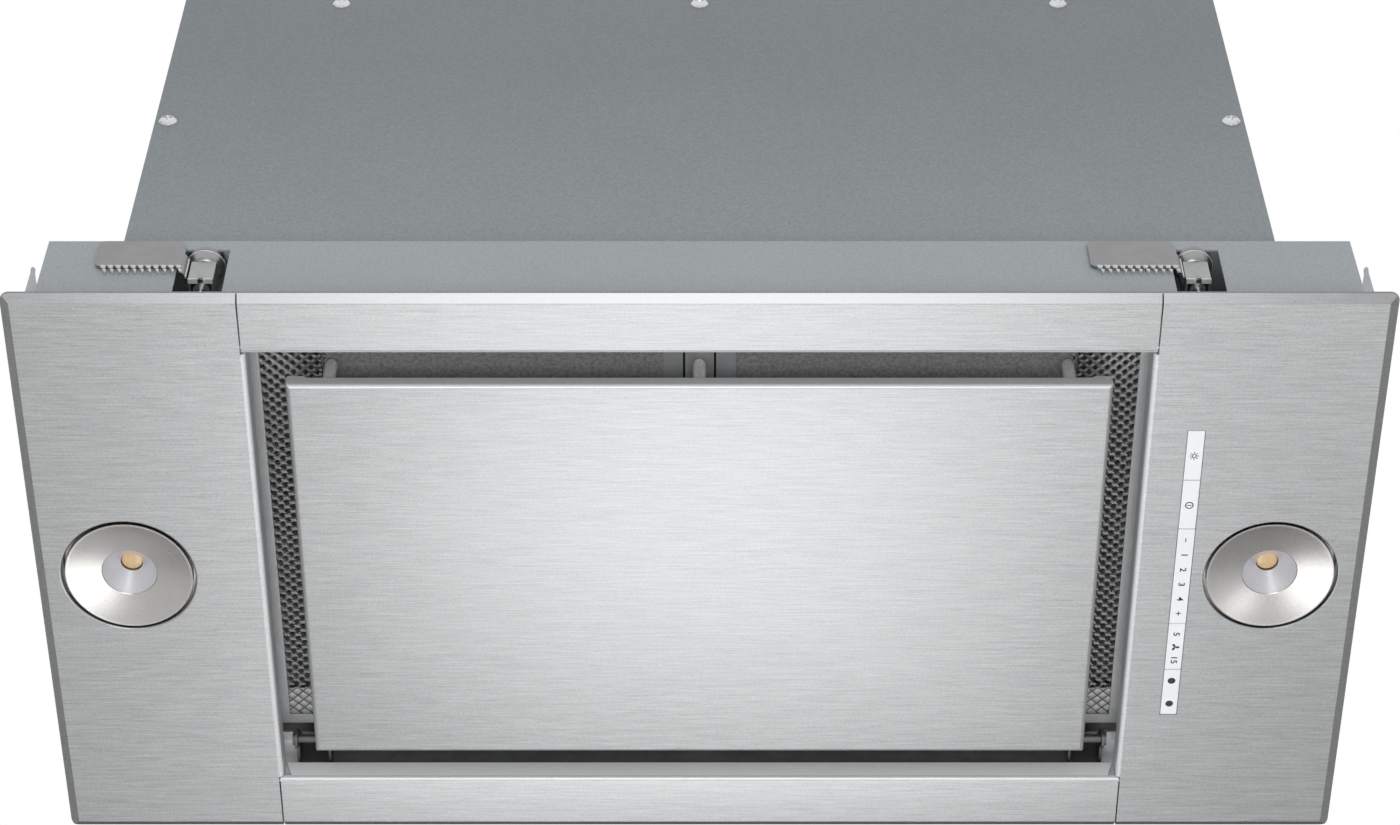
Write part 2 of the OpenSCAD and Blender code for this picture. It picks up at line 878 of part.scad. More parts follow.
// Right filter's latch: a bolt over the rear ledge and a finger lip below
module filter_latch() {
    low = filter_z + skin;
    block([filter_mid - latch_w / 2, filter_mid + latch_w / 2],
          [filter_rear - 15, bolt_out], [low, low + bolt_t]);
    block([filter_mid - latch_w / 2, filter_mid + latch_w / 2],
          [filter_rear - 15, filter_rear - 13], [filter_z - 7, low]);
}

module filter_frame_left() {
    color([0.72, 0.73, 0.74])
        mirror([1, 0, 0])
            filter_frame();
}

module filter_frame_right() {
    color([0.72, 0.73, 0.74])
        filter_frame();
}

module filter_mesh_left() {
    color([0.45, 0.46, 0.47])
        mirror([1, 0, 0])
            filter_mesh();
}

module filter_mesh_right() {
    color([0.45, 0.46, 0.47])
        filter_mesh();
}

module filter_latch_left() {
    color(DARK)
        mirror([1, 0, 0])
            filter_latch();
}

module filter_latch_right() {
    color(DARK)
        filter_latch();
}

// Height of the dish's lower side over the face, from its rim to the cone
function dish_z(t) = 0.4 + dish * 4 * t * (1 - t);

// Lamp body: rim, shallow dish, inner cone, sleeve and the shoulder over the face
module lamp_reflector() {
    steps = 12;
    lower = [for (i = [0:steps])
        let (t = i / steps)
        [lamp_r - 1 + t * (cone_r - lamp_r + 1), dish_z(t)]];
    upper = [for (i = [steps:-1:0])
        let (t = i / steps, r = lamp_r - 0.9 + t * (cone_r + 0.6 - lamp_r + 0.9))
        if (r < sleeve_r - 1.3) [r, dish_z(t) + 0.9]];
    sleeve = [[sleeve_r - 1, sheet + 1], [sleeve_r - 1, sleeve_h], [sleeve_r, sleeve_h],
              [sleeve_r, sheet + 1]];
    shoulder = [[lamp_r + 2.2, sheet + 1], [lamp_r + 2.2, sheet], [lamp_r, sheet]];
    translate([0, 0, face_z])
        rotate_extrude($fn = 96)
            polygon(concat([[lamp_r, 0.1], [lamp_r - 0.6, 0.1]], lower,
                           [[led_r + 0.2, dish_z(1) + cone_h],
                            [led_r + 1.1, dish_z(1) + cone_h + 0.4]],
                           upper, sleeve, shoulder));
}

// Light source: a disc on the cooling body, with a low dome
module lamp_led() {
    top = sink_z;
    low = face_z + dish_z(1) + cone_h - 0.9;
    translate([0, 0, low + 0.8])
        cylinder(h = top - low - 0.8, r = led_r);
    translate([0, 0, low + 0.8])
        intersection() {
            translate([0, 0, -0.8])
                cylinder(h = 0.8, r = led_r);
            translate([0, 0, 13])
                sphere(13.8, $fn = 96);
        }
}

// Cooling body with upright fins
module lamp_heatsink() {
    r = sleeve_r - 0.2;
    translate([0, 0, sink_z])
        cylinder(h = 3, r = r, $fn = 96);
    for (i = [-3:3])
        let (x = i * 7.5)
        translate([0, 0, sink_z + 3])
            intersection() {
                cylinder(h = sink_h - 3, r = r, $fn = 96);
                block([x - 1, x + 1], [-r, r], [0, sink_h - 3]);
            }
}

module at_lamp(side) {
    translate([side * lamp_x, lamp_y, 0])
        children();
}

module lamp_reflector_left() {
    color([0.82, 0.82, 0.83])
        at_lamp(-1)
            lamp_reflector();
}

module lamp_reflector_right() {
    color([0.82, 0.82, 0.83])
        at_lamp(1)
            lamp_reflector();
}

module lamp_led_left() {
    color([0.85, 0.66, 0.38])
        at_lamp(-1)
            lamp_led();
}

module lamp_led_right() {
    color([0.85, 0.66, 0.38])
        at_lamp(1)
            lamp_led();
}

module lamp_heatsink_left() {
    color(ZINC)
        at_lamp(-1)
            lamp_heatsink();
}

module lamp_heatsink_right() {
    color(ZINC)
        at_lamp(1)
            lamp_heatsink();
}

// Where each key starts and ends, in key lengths; the level key is two long
KEYS = [[0, 1], [1, 2], [2, 4], [4, 5], [5, 6]];
function key_y(i, k) = strip_front + KEYS[i][k] * key_len;
function key_mid(i) = (key_y(i, 0) + key_y(i, 1)) / 2;
rock_y = key_mid(2);
rock_z = 0;
rock_r = 1;

// Dark box over the keys that carries the board
module control_housing() {
    y0 = strip_front - 3;
    y1 = strip_front + 6 * key_len + 3;
    color([0.12, 0.12, 0.12])
        difference() {
            block([strip_x - box_w / 2, strip_x + box_w / 2], [y0, y1], [inner_z, box_top]);
            block([strip_x - box_w / 2 + box_wall, strip_x + box_w / 2 - box_wall],
                  [y0 + box_wall, y1 - box_wall], [inner_z - 1, board_z]);
            block([strip_x - box_w / 2 + box_skin, strip_x + box_w / 2 - box_skin],
                  [y0 + box_skin, y1 - box_skin], [board_z, box_top - box_wall]);
            bar_x([strip_x - box_w / 2 - 1, strip_x + box_w / 2 + 1], rock_y, rock_z,
                  rock_r + run);
        }
}

// Board with one switch over each push key and two over the level key
module control_board() {
    x = strip_x;
    places = [key_mid(0), key_mid(1), rock_y - 18, rock_y + 18, key_mid(3), key_mid(4)];
    color([0.1, 0.3, 0.18]) {
        block([x - box_w / 2 + box_skin, x + box_w / 2 - box_skin],
              [strip_front - 2.5, strip_front + 6 * key_len + 2.5],
              [board_z, board_z + 1.6]);
        for (y = places)
            block([x - 3, x + 3], [y - 3, y + 3], [key_top + key_travel + 0.2, board_z]);
    }
}

// One key cap: its face lies in the slot, its wider flange behind the face sheet
module key_cap(i, lift) {
    y0 = key_y(i, 0) + key_gap;
    y1 = key_y(i, 1) - key_gap;
    block([strip_x - key_w / 2, strip_x + key_w / 2], [y0, y1], [face_z + 0.05, key_top]);
    block([strip_x - key_w / 2 - key_lip, strip_x + key_w / 2 + key_lip], [y0, y1],
          [inner_z + lift, inner_z + lift + 1.2]);
}

module key_light() {
    color([0.9, 0.92, 0.93])
        key_cap(0, 0);
}

module key_power() {
    color([0.9, 0.92, 0.93])
        key_cap(1, 0);
}

// The level key rocks on a cross pin: less at its front end, more at its rear end
module key_level() {
    color([0.9, 0.92, 0.93]) {
        key_cap(2, 0.9);
        bar_x([strip_x - box_w / 2 + 0.3, strip_x + box_w / 2 - 0.3], rock_y, rock_z, rock_r);
    }
}

module key_timer() {
    color([0.9, 0.92, 0.93])
        key_cap(3, 0);
}

module key_filter() {
    color([0.9, 0.92, 0.93])
        key_cap(4, 0);
}

// Toothed claw: a plate against the collar, and a hub sheet bent round the nut
module clamp_claw() {
    count = floor((claw_reach - 12) / tooth_pitch);
    plate_r = 2.5;
    hub_in = hub_r - plate_t;
    along_y([-hub_r, -hub_in]) {
        difference() {
            translate([-claw_reach, claw_low])
                square([claw_reach, claw_h]);
            translate([-claw_reach, claw_low])
                square(plate_r);
            translate([-claw_reach, claw_low + claw_h - plate_r])
                square(plate_r);
            translate([-hub_r, hub_top])
                square([hub_r + 1, claw_h]);
        }
        translate([-claw_reach + plate_r, claw_low + plate_r])
            circle(plate_r);
        translate([-claw_reach + plate_r, claw_low + claw_h - plate_r])
            circle(plate_r);
        for (i = [0:count - 1])
            translate([-claw_reach + 4 + i * tooth_pitch, claw_low])
                polygon([[0, 0.01], [tooth_pitch - 0.4, 0.01], [tooth_pitch / 2 - 0.2, -tooth_h]]);
    }
    // The sheet wraps part of a turn round the nut, and clears its tongue when it has swung
    translate([0, 0, hub_low])
        linear_extrude(hub_top - hub_low)
            intersection() {
                difference() {
                    circle(hub_r, $fn = 96);
                    circle(hub_in, $fn = 96);
                }
                translate([0, -hub_r])
                    square([hub_r, hub_r - 3]);
            }
    for (z = [hub_low, hub_top - plate_t])
        difference() {
            translate([0, 0, z])
                cylinder(h = plate_t, r = hub_r, $fn = 96);
            translate([0, 0, z - 1])
                cylinder(h = plate_t + 2, r = nut_r + run);
            block([-hub_r, hub_r], [4.5, hub_r], [z - 1, z + plate_t + 1]);
        }
}

// Nut: a sleeve that the claw turns on, and a block that slides along the guide
module clamp_nut() {
    difference() {
        union() {
            translate([0, 0, hub_low - 0.5])
                cylinder(h = hub_top - hub_low + 1, r = nut_r);
            block([-4.5, tongue], [-4.5, guide_y - fit],
                  [hub_low + plate_t + 0.2, hub_top - plate_t - 0.2]);
        }
        translate([0, 0, hub_low - 1])
            cylinder(h = hub_top - hub_low + 2, r = clamp_r + run);
    }
}

// Clamp screw: it stands on the guide's foot, with its head below
module clamp_screw() {
    head_h = 1.9;
    difference() {
        union() {
            translate([0, 0, -0.1])
                cylinder(h = 53, r = clamp_r);
            translate([0, 0, -0.1 - head_h])
                cylinder(h = head_h, r = 3.8);
        }
        translate([0, 0, -0.1 - head_h - 1])
            cylinder(h = 2.2, r = 1.6, $fn = 6);
    }
}

module clamp_claw_1() {
    color(ZINC)
        at_clamp(0)
            clamp_claw();
}

module clamp_claw_2() {
    color(ZINC)
        at_clamp(1)
            clamp_claw();
}

module clamp_claw_3() {
    color(ZINC)
        at_clamp(2)
            clamp_claw();
}

module clamp_claw_4() {
    color(ZINC)
        at_clamp(3)
            clamp_claw();
}

module clamp_nut_1() {
    color(DARK)
        at_clamp(0)
            clamp_nut();
}

module clamp_nut_2() {
    color(DARK)
        at_clamp(1)
            clamp_nut();
}

module clamp_nut_3() {
    color(DARK)
        at_clamp(2)
            clamp_nut();
}

module clamp_nut_4() {
    color(DARK)
        at_clamp(3)
            clamp_nut();
}

module clamp_screw_1() {
    color([0.8, 0.8, 0.8])
        at_clamp(0)
            clamp_screw();
}

module clamp_screw_2() {
    color([0.8, 0.8, 0.8])
        at_clamp(1)
            clamp_screw();
}

module clamp_screw_3() {
    color([0.8, 0.8, 0.8])
        at_clamp(2)
            clamp_screw();
}

module clamp_screw_4() {
    color([0.8, 0.8, 0.8])
        at_clamp(3)
            clamp_screw();
}

// Fan scroll: a drum round the wheel and a round duct up to the lid
module fan_scroll() {
    high = house_top - steel;
    color([0.2, 0.2, 0.21])
        difference() {
            union() {
                bar_x([-scroll_x, scroll_x], 0, scroll_z, scroll_r, $fn = 96);
                translate([0, 0, neck_z - scroll_t])
                    cylinder(h = high - neck_z + scroll_t, r = neck_r, $fn = 96);
            }
            bar_x([-scroll_x + scroll_t, scroll_x - scroll_t], 0, scroll_z,
                  scroll_r - scroll_t, $fn = 96);
            intersection() {
                translate([0, 0, scroll_z])
                    cylinder(h = high - scroll_z + 1, r = neck_r - scroll_t, $fn = 96);
                block([-scroll_x + scroll_t, scroll_x - scroll_t], [-neck_r, neck_r],
                      [scroll_z, high + 2]);
            }
            translate([0, 0, neck_z])
                cylinder(h = high, r = neck_r - scroll_t, $fn = 96);
            bar_x([-scroll_x - 1, scroll_x + 1], fan_y, fan_z, inlet_r, $fn = 96);
        }
}

// Motor in the wheel, with its shaft
module fan_motor() {
    color([0.35, 0.36, 0.38]) {
        bar_x([9, scroll_x], fan_y, fan_z, motor_r, $fn = 96);
        bar_x([-14, 9], fan_y, fan_z, shaft_r);
    }
}

// Three-armed bracket that carries the motor on the scroll's right side
module motor_bracket() {
    color(ZINC) {
        translate([scroll_x, fan_y, fan_z])
            rotate([0, 90, 0])
                linear_extrude(scroll_t) {
                    difference() {
                        circle(motor_r - 4);
                        circle(motor_r - 20);
                    }
                    for (a = [30, 150, 270])
                        rotate([0, 0, a])
                            translate([motor_r - 8, -6])
                                square([inlet_r + 10 - motor_r + 8, 12]);
                }
    }
}

// Double-width fan wheel: a middle disc, a hub, two end rings and the blades
module impeller() {
    color([0.15, 0.15, 0.16])
        translate([-wheel_w / 2, fan_y, fan_z])
            rotate([0, 90, 0]) {
                linear_extrude(wheel_w)
                    for (i = [0:blades - 1])
                        rotate([0, 0, i * 360 / blades])
                            translate([wheel_r - 14, 0])
                                rotate([0, 0, 25])
                                    square([13, 1.2]);
                for (z = [0, wheel_w - 2])
                    translate([0, 0, z])
                        linear_extrude(2)
                            difference() {
                                circle(wheel_r, $fn = 96);
                                circle(wheel_r - 7, $fn = 96);
                            }
                translate([0, 0, wheel_w / 2 - 1])
                    linear_extrude(2)
                        difference() {
                            circle(wheel_r, $fn = 96);
                            circle(shaft_r + run);
                        }
                translate([0, 0, wheel_w / 2 - 12])
                    linear_extrude(12)
                        difference() {
                            circle(shaft_r + 5);
                            circle(shaft_r + run);
                        }
            }
}

// Round exhaust spigot; its narrower root goes through the lid, and a ring seats the flaps
module exhaust_spigot() {
    inner = spigot_r - spigot_t;
    color([0.16, 0.16, 0.17])
        difference() {
            union() {
                translate([0, 0, house_top + bead_h])
                    linear_extrude(spigot_h - bead_h)
                        difference() {
                            circle(spigot_r, $fn = 96);
                            circle(inner, $fn = 96);
                        }
                translate([0, 0, house_top - steel])
                    linear_extrude(steel + bead_h + 1)
                        difference() {
                            circle(root_r, $fn = 96);
                            circle(inner, $fn = 96);
                        }
                translate([0, 0, seat_z - seat_t])
                    linear_extrude(seat_t)
                        difference() {
                            circle(inner + spigot_t / 2, $fn = 96);
                            circle(inner - seat_w, $fn = 96);
                        }
            }
            bar_x([-spigot_r - 1, spigot_r + 1], 0, flap_z, flap_pin_r);
        }
}

// One non-return flap: a half disc behind the pin, and knuckles at the given stretches
module flap(stretches) {
    r = spigot_r - spigot_t - 0.7;
    difference() {
        union() {
            intersection() {
                translate([0, 0, seat_z])
                    cylinder(h = flap_t, r = r, $fn = 96);
                union() {
                    block([-r, r], [knuckle_r + 0.6, r], [seat_z, seat_z + flap_t]);
                    for (s = stretches)
                        block(s, [0, r], [seat_z, seat_z + flap_t]);
                }
            }
            for (s = stretches)
                bar_x(s, 0, flap_z, knuckle_r);
        }
        bar_x([-spigot_r, spigot_r], 0, flap_z, flap_pin_r + run);
    }
}

module flap_front() {
    color([0.2, 0.2, 0.21])
        mirror([0, 1, 0])
            flap([[-62, -32], [0.5, 30.5]]);
}

module flap_rear() {
    color([0.2, 0.2, 0.21])
        flap([[-31, -1], [32, 62]]);
}

module flap_pin() {
    color(ZINC)
        bar_x([-spigot_r + 0.2, spigot_r - 0.2], 0, flap_z, flap_pin_r);
}

// Box for the mains terminals and the driver, on the collar's shelf
module electronics_box() {
    color([0.22, 0.22, 0.23])
        difference() {
            block([-house_x + 10, -tray_x - 3], [-60, 60], [collar_h, collar_h + 62]);
            block([-house_x + 12, -tray_x - 5], [-58, 58], [collar_h + 2, collar_h + 60]);
            bar_x([-tray_x - 6, -tray_x - 2], 30, collar_h + 45, 5);
        }
}

// Cable gland through the lid; no cord is shown
module cable_gland() {
    color([0.14, 0.14, 0.15])
        translate([gland_x, gland_y, house_top])
            difference() {
                union() {
                    cylinder(h = 6, r = gland_r + 7, $fn = 6);
                    cylinder(h = 14, r = gland_r + 4);
                    translate([0, 0, -steel - 6])
                        cylinder(h = steel + 6, r = gland_r + 3.4);
                    translate([0, 0, -steel - 5])
                        cylinder(h = 5, r = gland_r + 7, $fn = 6);
                }
                translate([0, 0, -steel - 7])
                    cylinder(h = 30, r = gland_r);
            }
}

fascia_left();
fascia_right();
front_strip();
rear_strip();
deflector_panel();
deflector_backing();
catch_pegs();
catch_clips();
hinge_brackets();
hinge_pins();
collar();
intake_tray();
centre_bar();
housing_body();
housing_front();
housing_top();
housing_screws();
shelf_rivets();
side_barbs();
filter_frame_left();
filter_frame_right();
filter_mesh_left();
filter_mesh_right();
filter_latch_left();
filter_latch_right();
lamp_reflector_left();
lamp_reflector_right();
lamp_led_left();
lamp_led_right();
lamp_heatsink_left();
lamp_heatsink_right();
control_housing();
control_board();
key_light();
key_power();
key_level();
key_timer();
key_filter();
clamp_claw_1();
clamp_claw_2();
clamp_claw_3();
clamp_claw_4();
clamp_nut_1();
clamp_nut_2();
clamp_nut_3();
clamp_nut_4();
clamp_screw_1();
clamp_screw_2();
clamp_screw_3();
clamp_screw_4();
fan_scroll();
fan_motor();
motor_bracket();
impeller();
exhaust_spigot();
flap_front();
flap_rear();
flap_pin();
electronics_box();
cable_gland();
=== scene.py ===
import json
import math

import bmesh
import bpy
from mathutils import Matrix, Vector

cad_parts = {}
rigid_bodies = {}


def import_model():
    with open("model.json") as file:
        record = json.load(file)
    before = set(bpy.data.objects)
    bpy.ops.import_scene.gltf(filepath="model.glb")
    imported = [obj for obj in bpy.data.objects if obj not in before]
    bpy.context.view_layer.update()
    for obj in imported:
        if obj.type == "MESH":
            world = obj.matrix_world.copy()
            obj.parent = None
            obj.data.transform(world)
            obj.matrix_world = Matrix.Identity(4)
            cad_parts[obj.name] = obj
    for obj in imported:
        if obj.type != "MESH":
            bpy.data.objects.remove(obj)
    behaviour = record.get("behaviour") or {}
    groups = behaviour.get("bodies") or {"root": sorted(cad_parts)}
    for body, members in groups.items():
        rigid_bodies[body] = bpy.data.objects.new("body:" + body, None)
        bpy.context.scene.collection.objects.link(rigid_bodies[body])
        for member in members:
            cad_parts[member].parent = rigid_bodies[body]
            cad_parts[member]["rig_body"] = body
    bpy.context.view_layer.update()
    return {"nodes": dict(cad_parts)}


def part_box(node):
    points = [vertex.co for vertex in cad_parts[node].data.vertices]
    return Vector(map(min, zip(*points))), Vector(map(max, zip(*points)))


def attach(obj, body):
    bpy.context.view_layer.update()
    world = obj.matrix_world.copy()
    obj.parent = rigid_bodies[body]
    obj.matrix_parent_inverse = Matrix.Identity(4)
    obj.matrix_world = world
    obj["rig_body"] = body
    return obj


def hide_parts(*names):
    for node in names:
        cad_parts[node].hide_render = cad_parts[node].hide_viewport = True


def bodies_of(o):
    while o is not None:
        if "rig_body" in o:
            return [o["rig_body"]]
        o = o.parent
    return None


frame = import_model()
nodes = frame["nodes"]

MM = 0.001


# Shader wiring

def add(tree, kind, settings=None, **inputs):
    """A shader node with its settings and inputs; an input is a value or another node's output"""
    made = tree.nodes.new(kind)
    for label, value in (settings or {}).items():
        setattr(made, label, value)
    for label, value in inputs.items():
        wire(tree, made, label.replace("_", " "), value)
    return made


def wire(tree, made, label, value):
    socket = made.inputs[int(label)] if label.isdigit() else made.inputs[label]
    if isinstance(value, bpy.types.NodeSocket):
        tree.links.new(value, socket)
    else:
        socket.default_value = value


def maths(tree, operation, first, second=0.0):
    made = add(tree, "ShaderNodeMath", {"operation": operation})
    wire(tree, made, "0", first)
    wire(tree, made, "1", second)
    return made.outputs[0]


def remap(tree, value, low, high, to_low, to_high):
    made = add(tree, "ShaderNodeMapRange", {"clamp": True})
    for label, what in (("Value", value), ("From Min", low), ("From Max", high),
                        ("To Min", to_low), ("To Max", to_high)):
        wire(tree, made, label, what)
    return made.outputs["Result"]


def noise(tree, place, scale, detail, rough):
    made = add(tree, "ShaderNodeTexNoise", Vector=place, Scale=scale, Detail=detail,
               Roughness=rough)
    return made.outputs["Fac"]


def stretched(tree, place, scales):
    made = add(tree, "ShaderNodeMapping", Vector=place)
    made.inputs["Scale"].default_value = scales
    return made.outputs["Vector"]


def tinted(tree, colour, tone):
    """A colour made lighter or darker by a tone round 1"""
    made = add(tree, "ShaderNodeVectorMath", {"operation": "SCALE"})
    made.inputs[0].default_value = colour[:3]
    wire(tree, made, "Scale", tone)
    return made.outputs["Vector"]


def effect(name, inputs, outputs):
    """An empty shader node group: its tree, its inputs by name and its output node"""
    tree = bpy.data.node_groups.new(name, "ShaderNodeTree")
    for label, kind, value in inputs:
        socket = tree.interface.new_socket(name=label, in_out="INPUT", socket_type=kind)
        if value is not None:
            socket.default_value = value
    for label, kind in outputs:
        tree.interface.new_socket(name=label, in_out="OUTPUT", socket_type=kind)
    return tree, tree.nodes.new("NodeGroupInput").outputs, tree.nodes.new("NodeGroupOutput")


def placed(tree, group, **inputs):
    made = tree.nodes.new("ShaderNodeGroup")
    made.node_tree = group
    for label, value in inputs.items():
        wire(tree, made, label.replace("_", " "), value)
    return made.outputs


def finish_of(name):
    """A new material with an empty surface: the material, its tree and its shader"""
    made = bpy.data.materials.new(name)
    made.use_nodes = True
    tree = made.node_tree
    tree.nodes.clear()
    shader = tree.nodes.new("ShaderNodeBsdfPrincipled")
    out = tree.nodes.new("ShaderNodeOutputMaterial")
    tree.links.new(shader.outputs[0], out.inputs["Surface"])
    return made, tree, shader


def raised(tree, shader, height, distance, strength):
    """A height turned into a bump of the surface"""
    bump = add(tree, "ShaderNodeBump", Height=height, Distance=distance, Strength=strength)
    tree.links.new(bump.outputs["Normal"], shader.inputs["Normal"])


def roughened(tree, shader, value, roughness, spread, low=0.3, high=0.7):
    """Roughness that wanders with a value, by a spread round its middle"""
    wire(tree, shader, "Roughness",
         remap(tree, value, low, high, roughness - spread, roughness + spread))


# Effects shared by several finishes

F, V = "NodeSocketFloat", "NodeSocketVector"

# Brushed lines: how far each noise is drawn out along the grain, and its share
FINE_LINES, FINE_SHARE = (58, 2500, 2500), 0.55
BROAD_LINES, BROAD_SHARE = (15, 800, 800), 0.13
DUST_SCALE, DUST_SHARE = 1500.0, 0.32


def make_brushing():
    """Fine parallel scratches: a tone round 1, a spread of roughness and a height"""
    tree, given, out = effect(
        "brushing", [("Place", V, None), ("Contrast", F, 0.1)],
        [("Tone", F), ("Roughness", F), ("Height", F)])
    fine = noise(tree, stretched(tree, given["Place"], FINE_LINES), 1.0, 2.0, 0.65)
    broad = noise(tree, stretched(tree, given["Place"], BROAD_LINES), 1.0, 2.0, 0.6)
    dust = noise(tree, given["Place"], DUST_SCALE, 1.0, 0.5)
    lines = maths(tree, "ADD", maths(tree, "MULTIPLY", fine, FINE_SHARE),
                  maths(tree, "MULTIPLY", broad, BROAD_SHARE))
    mixed = maths(tree, "ADD", lines, maths(tree, "MULTIPLY", dust, DUST_SHARE))
    half = maths(tree, "MULTIPLY", maths(tree, "SUBTRACT", mixed, 0.5), given["Contrast"])
    tree.links.new(maths(tree, "ADD", half, 1.0), out.inputs["Tone"])
    tree.links.new(remap(tree, mixed, 0.25, 0.75, -0.06, 0.06), out.inputs["Roughness"])
    tree.links.new(mixed, out.inputs["Height"])
    return tree


def make_speckle():
    """Powder coat or plating: small specks, slow clouds and a pebbled height"""
    tree, given, out = effect(
        "speckle", [("Place", V, None), ("Speck Scale", F, 900.0), ("Contrast", F, 0.1)],
        [("Tone", F), ("Clouds", F), ("Height", F)])
    speck = noise(tree, given["Place"], given["Speck Scale"], 3.0, 0.7)
    clouds = noise(tree, given["Place"], 22.0, 3.0, 0.55)
    half = maths(tree, "MULTIPLY", maths(tree, "SUBTRACT", speck, 0.5), given["Contrast"])
    slow = maths(tree, "MULTIPLY", maths(tree, "SUBTRACT", clouds, 0.5), 0.08)
    tree.links.new(maths(tree, "ADD", maths(tree, "ADD", half, slow), 1.0),
                   out.inputs["Tone"])
    tree.links.new(clouds, out.inputs["Clouds"])
    tree.links.new(speck, out.inputs["Height"])
    return tree


def make_edge_wear_and_highlight():
    """Rubbed edges with a painted edge highlight: 1 where the surface turns a sharp corner, 0 on
    the flat
    """
    tree, given, out = effect(
        "edge_wear_and_highlight", [("Place", V, None), ("Low", F, 0.52), ("High", F, 0.6)],
        [("Wear And Highlight", F)])
    shape = tree.nodes.new("ShaderNodeNewGeometry")
    patchy = noise(tree, given["Place"], 160.0, 2.0, 0.6)
    wear_and_highlight = remap(tree, shape.outputs["Pointiness"], given["Low"], given["High"], 0.0, 1.0)
    tree.links.new(maths(tree, "MULTIPLY", wear_and_highlight, remap(tree, patchy, 0.3, 0.7, 0.3, 1.0)),
                   out.inputs["Wear And Highlight"])
    return tree


BRUSHING = make_brushing()
SPECKLE = make_speckle()
EDGE_WEAR_AND_HIGHLIGHT = make_edge_wear_and_highlight()


def here(tree):
    return tree.nodes.new("ShaderNodeTexCoord").outputs["Object"]


# Finishes

def make_stainless(name, colour, roughness, contrast, metallic=1.0):
    made, tree, shader = finish_of(name)
    brushed = placed(tree, BRUSHING, Place=here(tree), Contrast=contrast)
    wire(tree, shader, "Base Color", tinted(tree, colour, brushed["Tone"]))
    wire(tree, shader, "Roughness", maths(tree, "ADD", brushed["Roughness"], roughness))
    shader.inputs["Metallic"].default_value = metallic
    raised(tree, shader, brushed["Height"], 0.00004, 0.5)
    return made


# Paint: the heights between which it darkens upward, painted light low down and painted shade
# higher up as the light from below falls off, with its tones there, and a foot of painted shade
# that lies below everything and so darkens nothing
PAINT_SHADE_RISE = (0.06, 0.23, 1.2, 0.96)
NO_SHADED_FOOT = (-1.0, -0.99, 1.0)


def make_paint(name, colour, contrast, roughness, scale=1300.0, foot=NO_SHADED_FOOT):
    """Powder coat; its foot is a span of heights where painted shade darkens it, where the part
    meets the one below
    """
    made, tree, shader = finish_of(name)
    place = here(tree)
    powder = placed(tree, SPECKLE, Place=place, Speck_Scale=scale, Contrast=contrast)
    height = add(tree, "ShaderNodeSeparateXYZ", Vector=place).outputs["Z"]
    # painted shade at the foot, where the part meets the one below
    above = maths(tree, "POWER", remap(tree, height, foot[0], foot[1], 0.0, 1.0), 0.5)
    tone = maths(tree, "MULTIPLY", powder["Tone"], remap(tree, above, 0.0, 1.0, foot[2], 1.0))
    # painted light low down and painted shade higher up, as the light from below falls off
    tone = maths(tree, "MULTIPLY", tone, remap(tree, height, *PAINT_SHADE_RISE))
    wire(tree, shader, "Base Color", tinted(tree, colour, tone))
    roughened(tree, shader, powder["Height"], roughness, 0.05)
    shader.inputs["Specular IOR Level"].default_value = 0.35
    raised(tree, shader, powder["Height"], 0.00005, 0.5)
    return made


def make_plate(name, colour, roughness, contrast=0.16, scale=420.0, metallic=1.0):
    """Plain plated or cast metal"""
    made, tree, shader = finish_of(name)
    place = here(tree)
    grain = placed(tree, SPECKLE, Place=place, Speck_Scale=scale, Contrast=contrast)
    wear_and_highlight = placed(tree, EDGE_WEAR_AND_HIGHLIGHT, Place=place)
    # sharp corners made lighter: partly rubbed wear, partly a painted highlight
    wire(tree, shader, "Base Color",
         tinted(tree, colour, maths(tree, "ADD", grain["Tone"],
                                    maths(tree, "MULTIPLY", wear_and_highlight["Wear And Highlight"], 0.15))))
    roughened(tree, shader, grain["Clouds"], roughness, 0.06)
    shader.inputs["Metallic"].default_value = metallic
    raised(tree, shader, grain["Height"], 0.00002, 0.4)
    return made


def make_plastic(name, colour, roughness, contrast=0.1):
    made, tree, shader = finish_of(name)
    grain = placed(tree, SPECKLE, Place=here(tree), Speck_Scale=1600.0, Contrast=contrast)
    wire(tree, shader, "Base Color", tinted(tree, colour, grain["Tone"]))
    roughened(tree, shader, grain["Clouds"], roughness, 0.05)
    raised(tree, shader, grain["Height"], 0.00003, 0.35)
    return made


def make_satin(name, colour, roughness, metallic):
    """Bead-blasted and anodised: an even, fine grain"""
    made, tree, shader = finish_of(name)
    grain = placed(tree, SPECKLE, Place=here(tree), Speck_Scale=1500.0, Contrast=0.3)
    wire(tree, shader, "Base Color", tinted(tree, colour, grain["Tone"]))
    roughened(tree, shader, grain["Height"], roughness, 0.04)
    shader.inputs["Metallic"].default_value = metallic
    raised(tree, shader, grain["Height"], 0.00002, 0.5)
    return made


# Tray: painted shade on its middle, where the suction panel shades it, painted light at its ends,
# lit through the side gaps, and the width between them
TRAY_PAINTED_SHADE, TRAY_PAINTED_LIGHT, TRAY_BLEND = 0.26, 1.6, 0.012


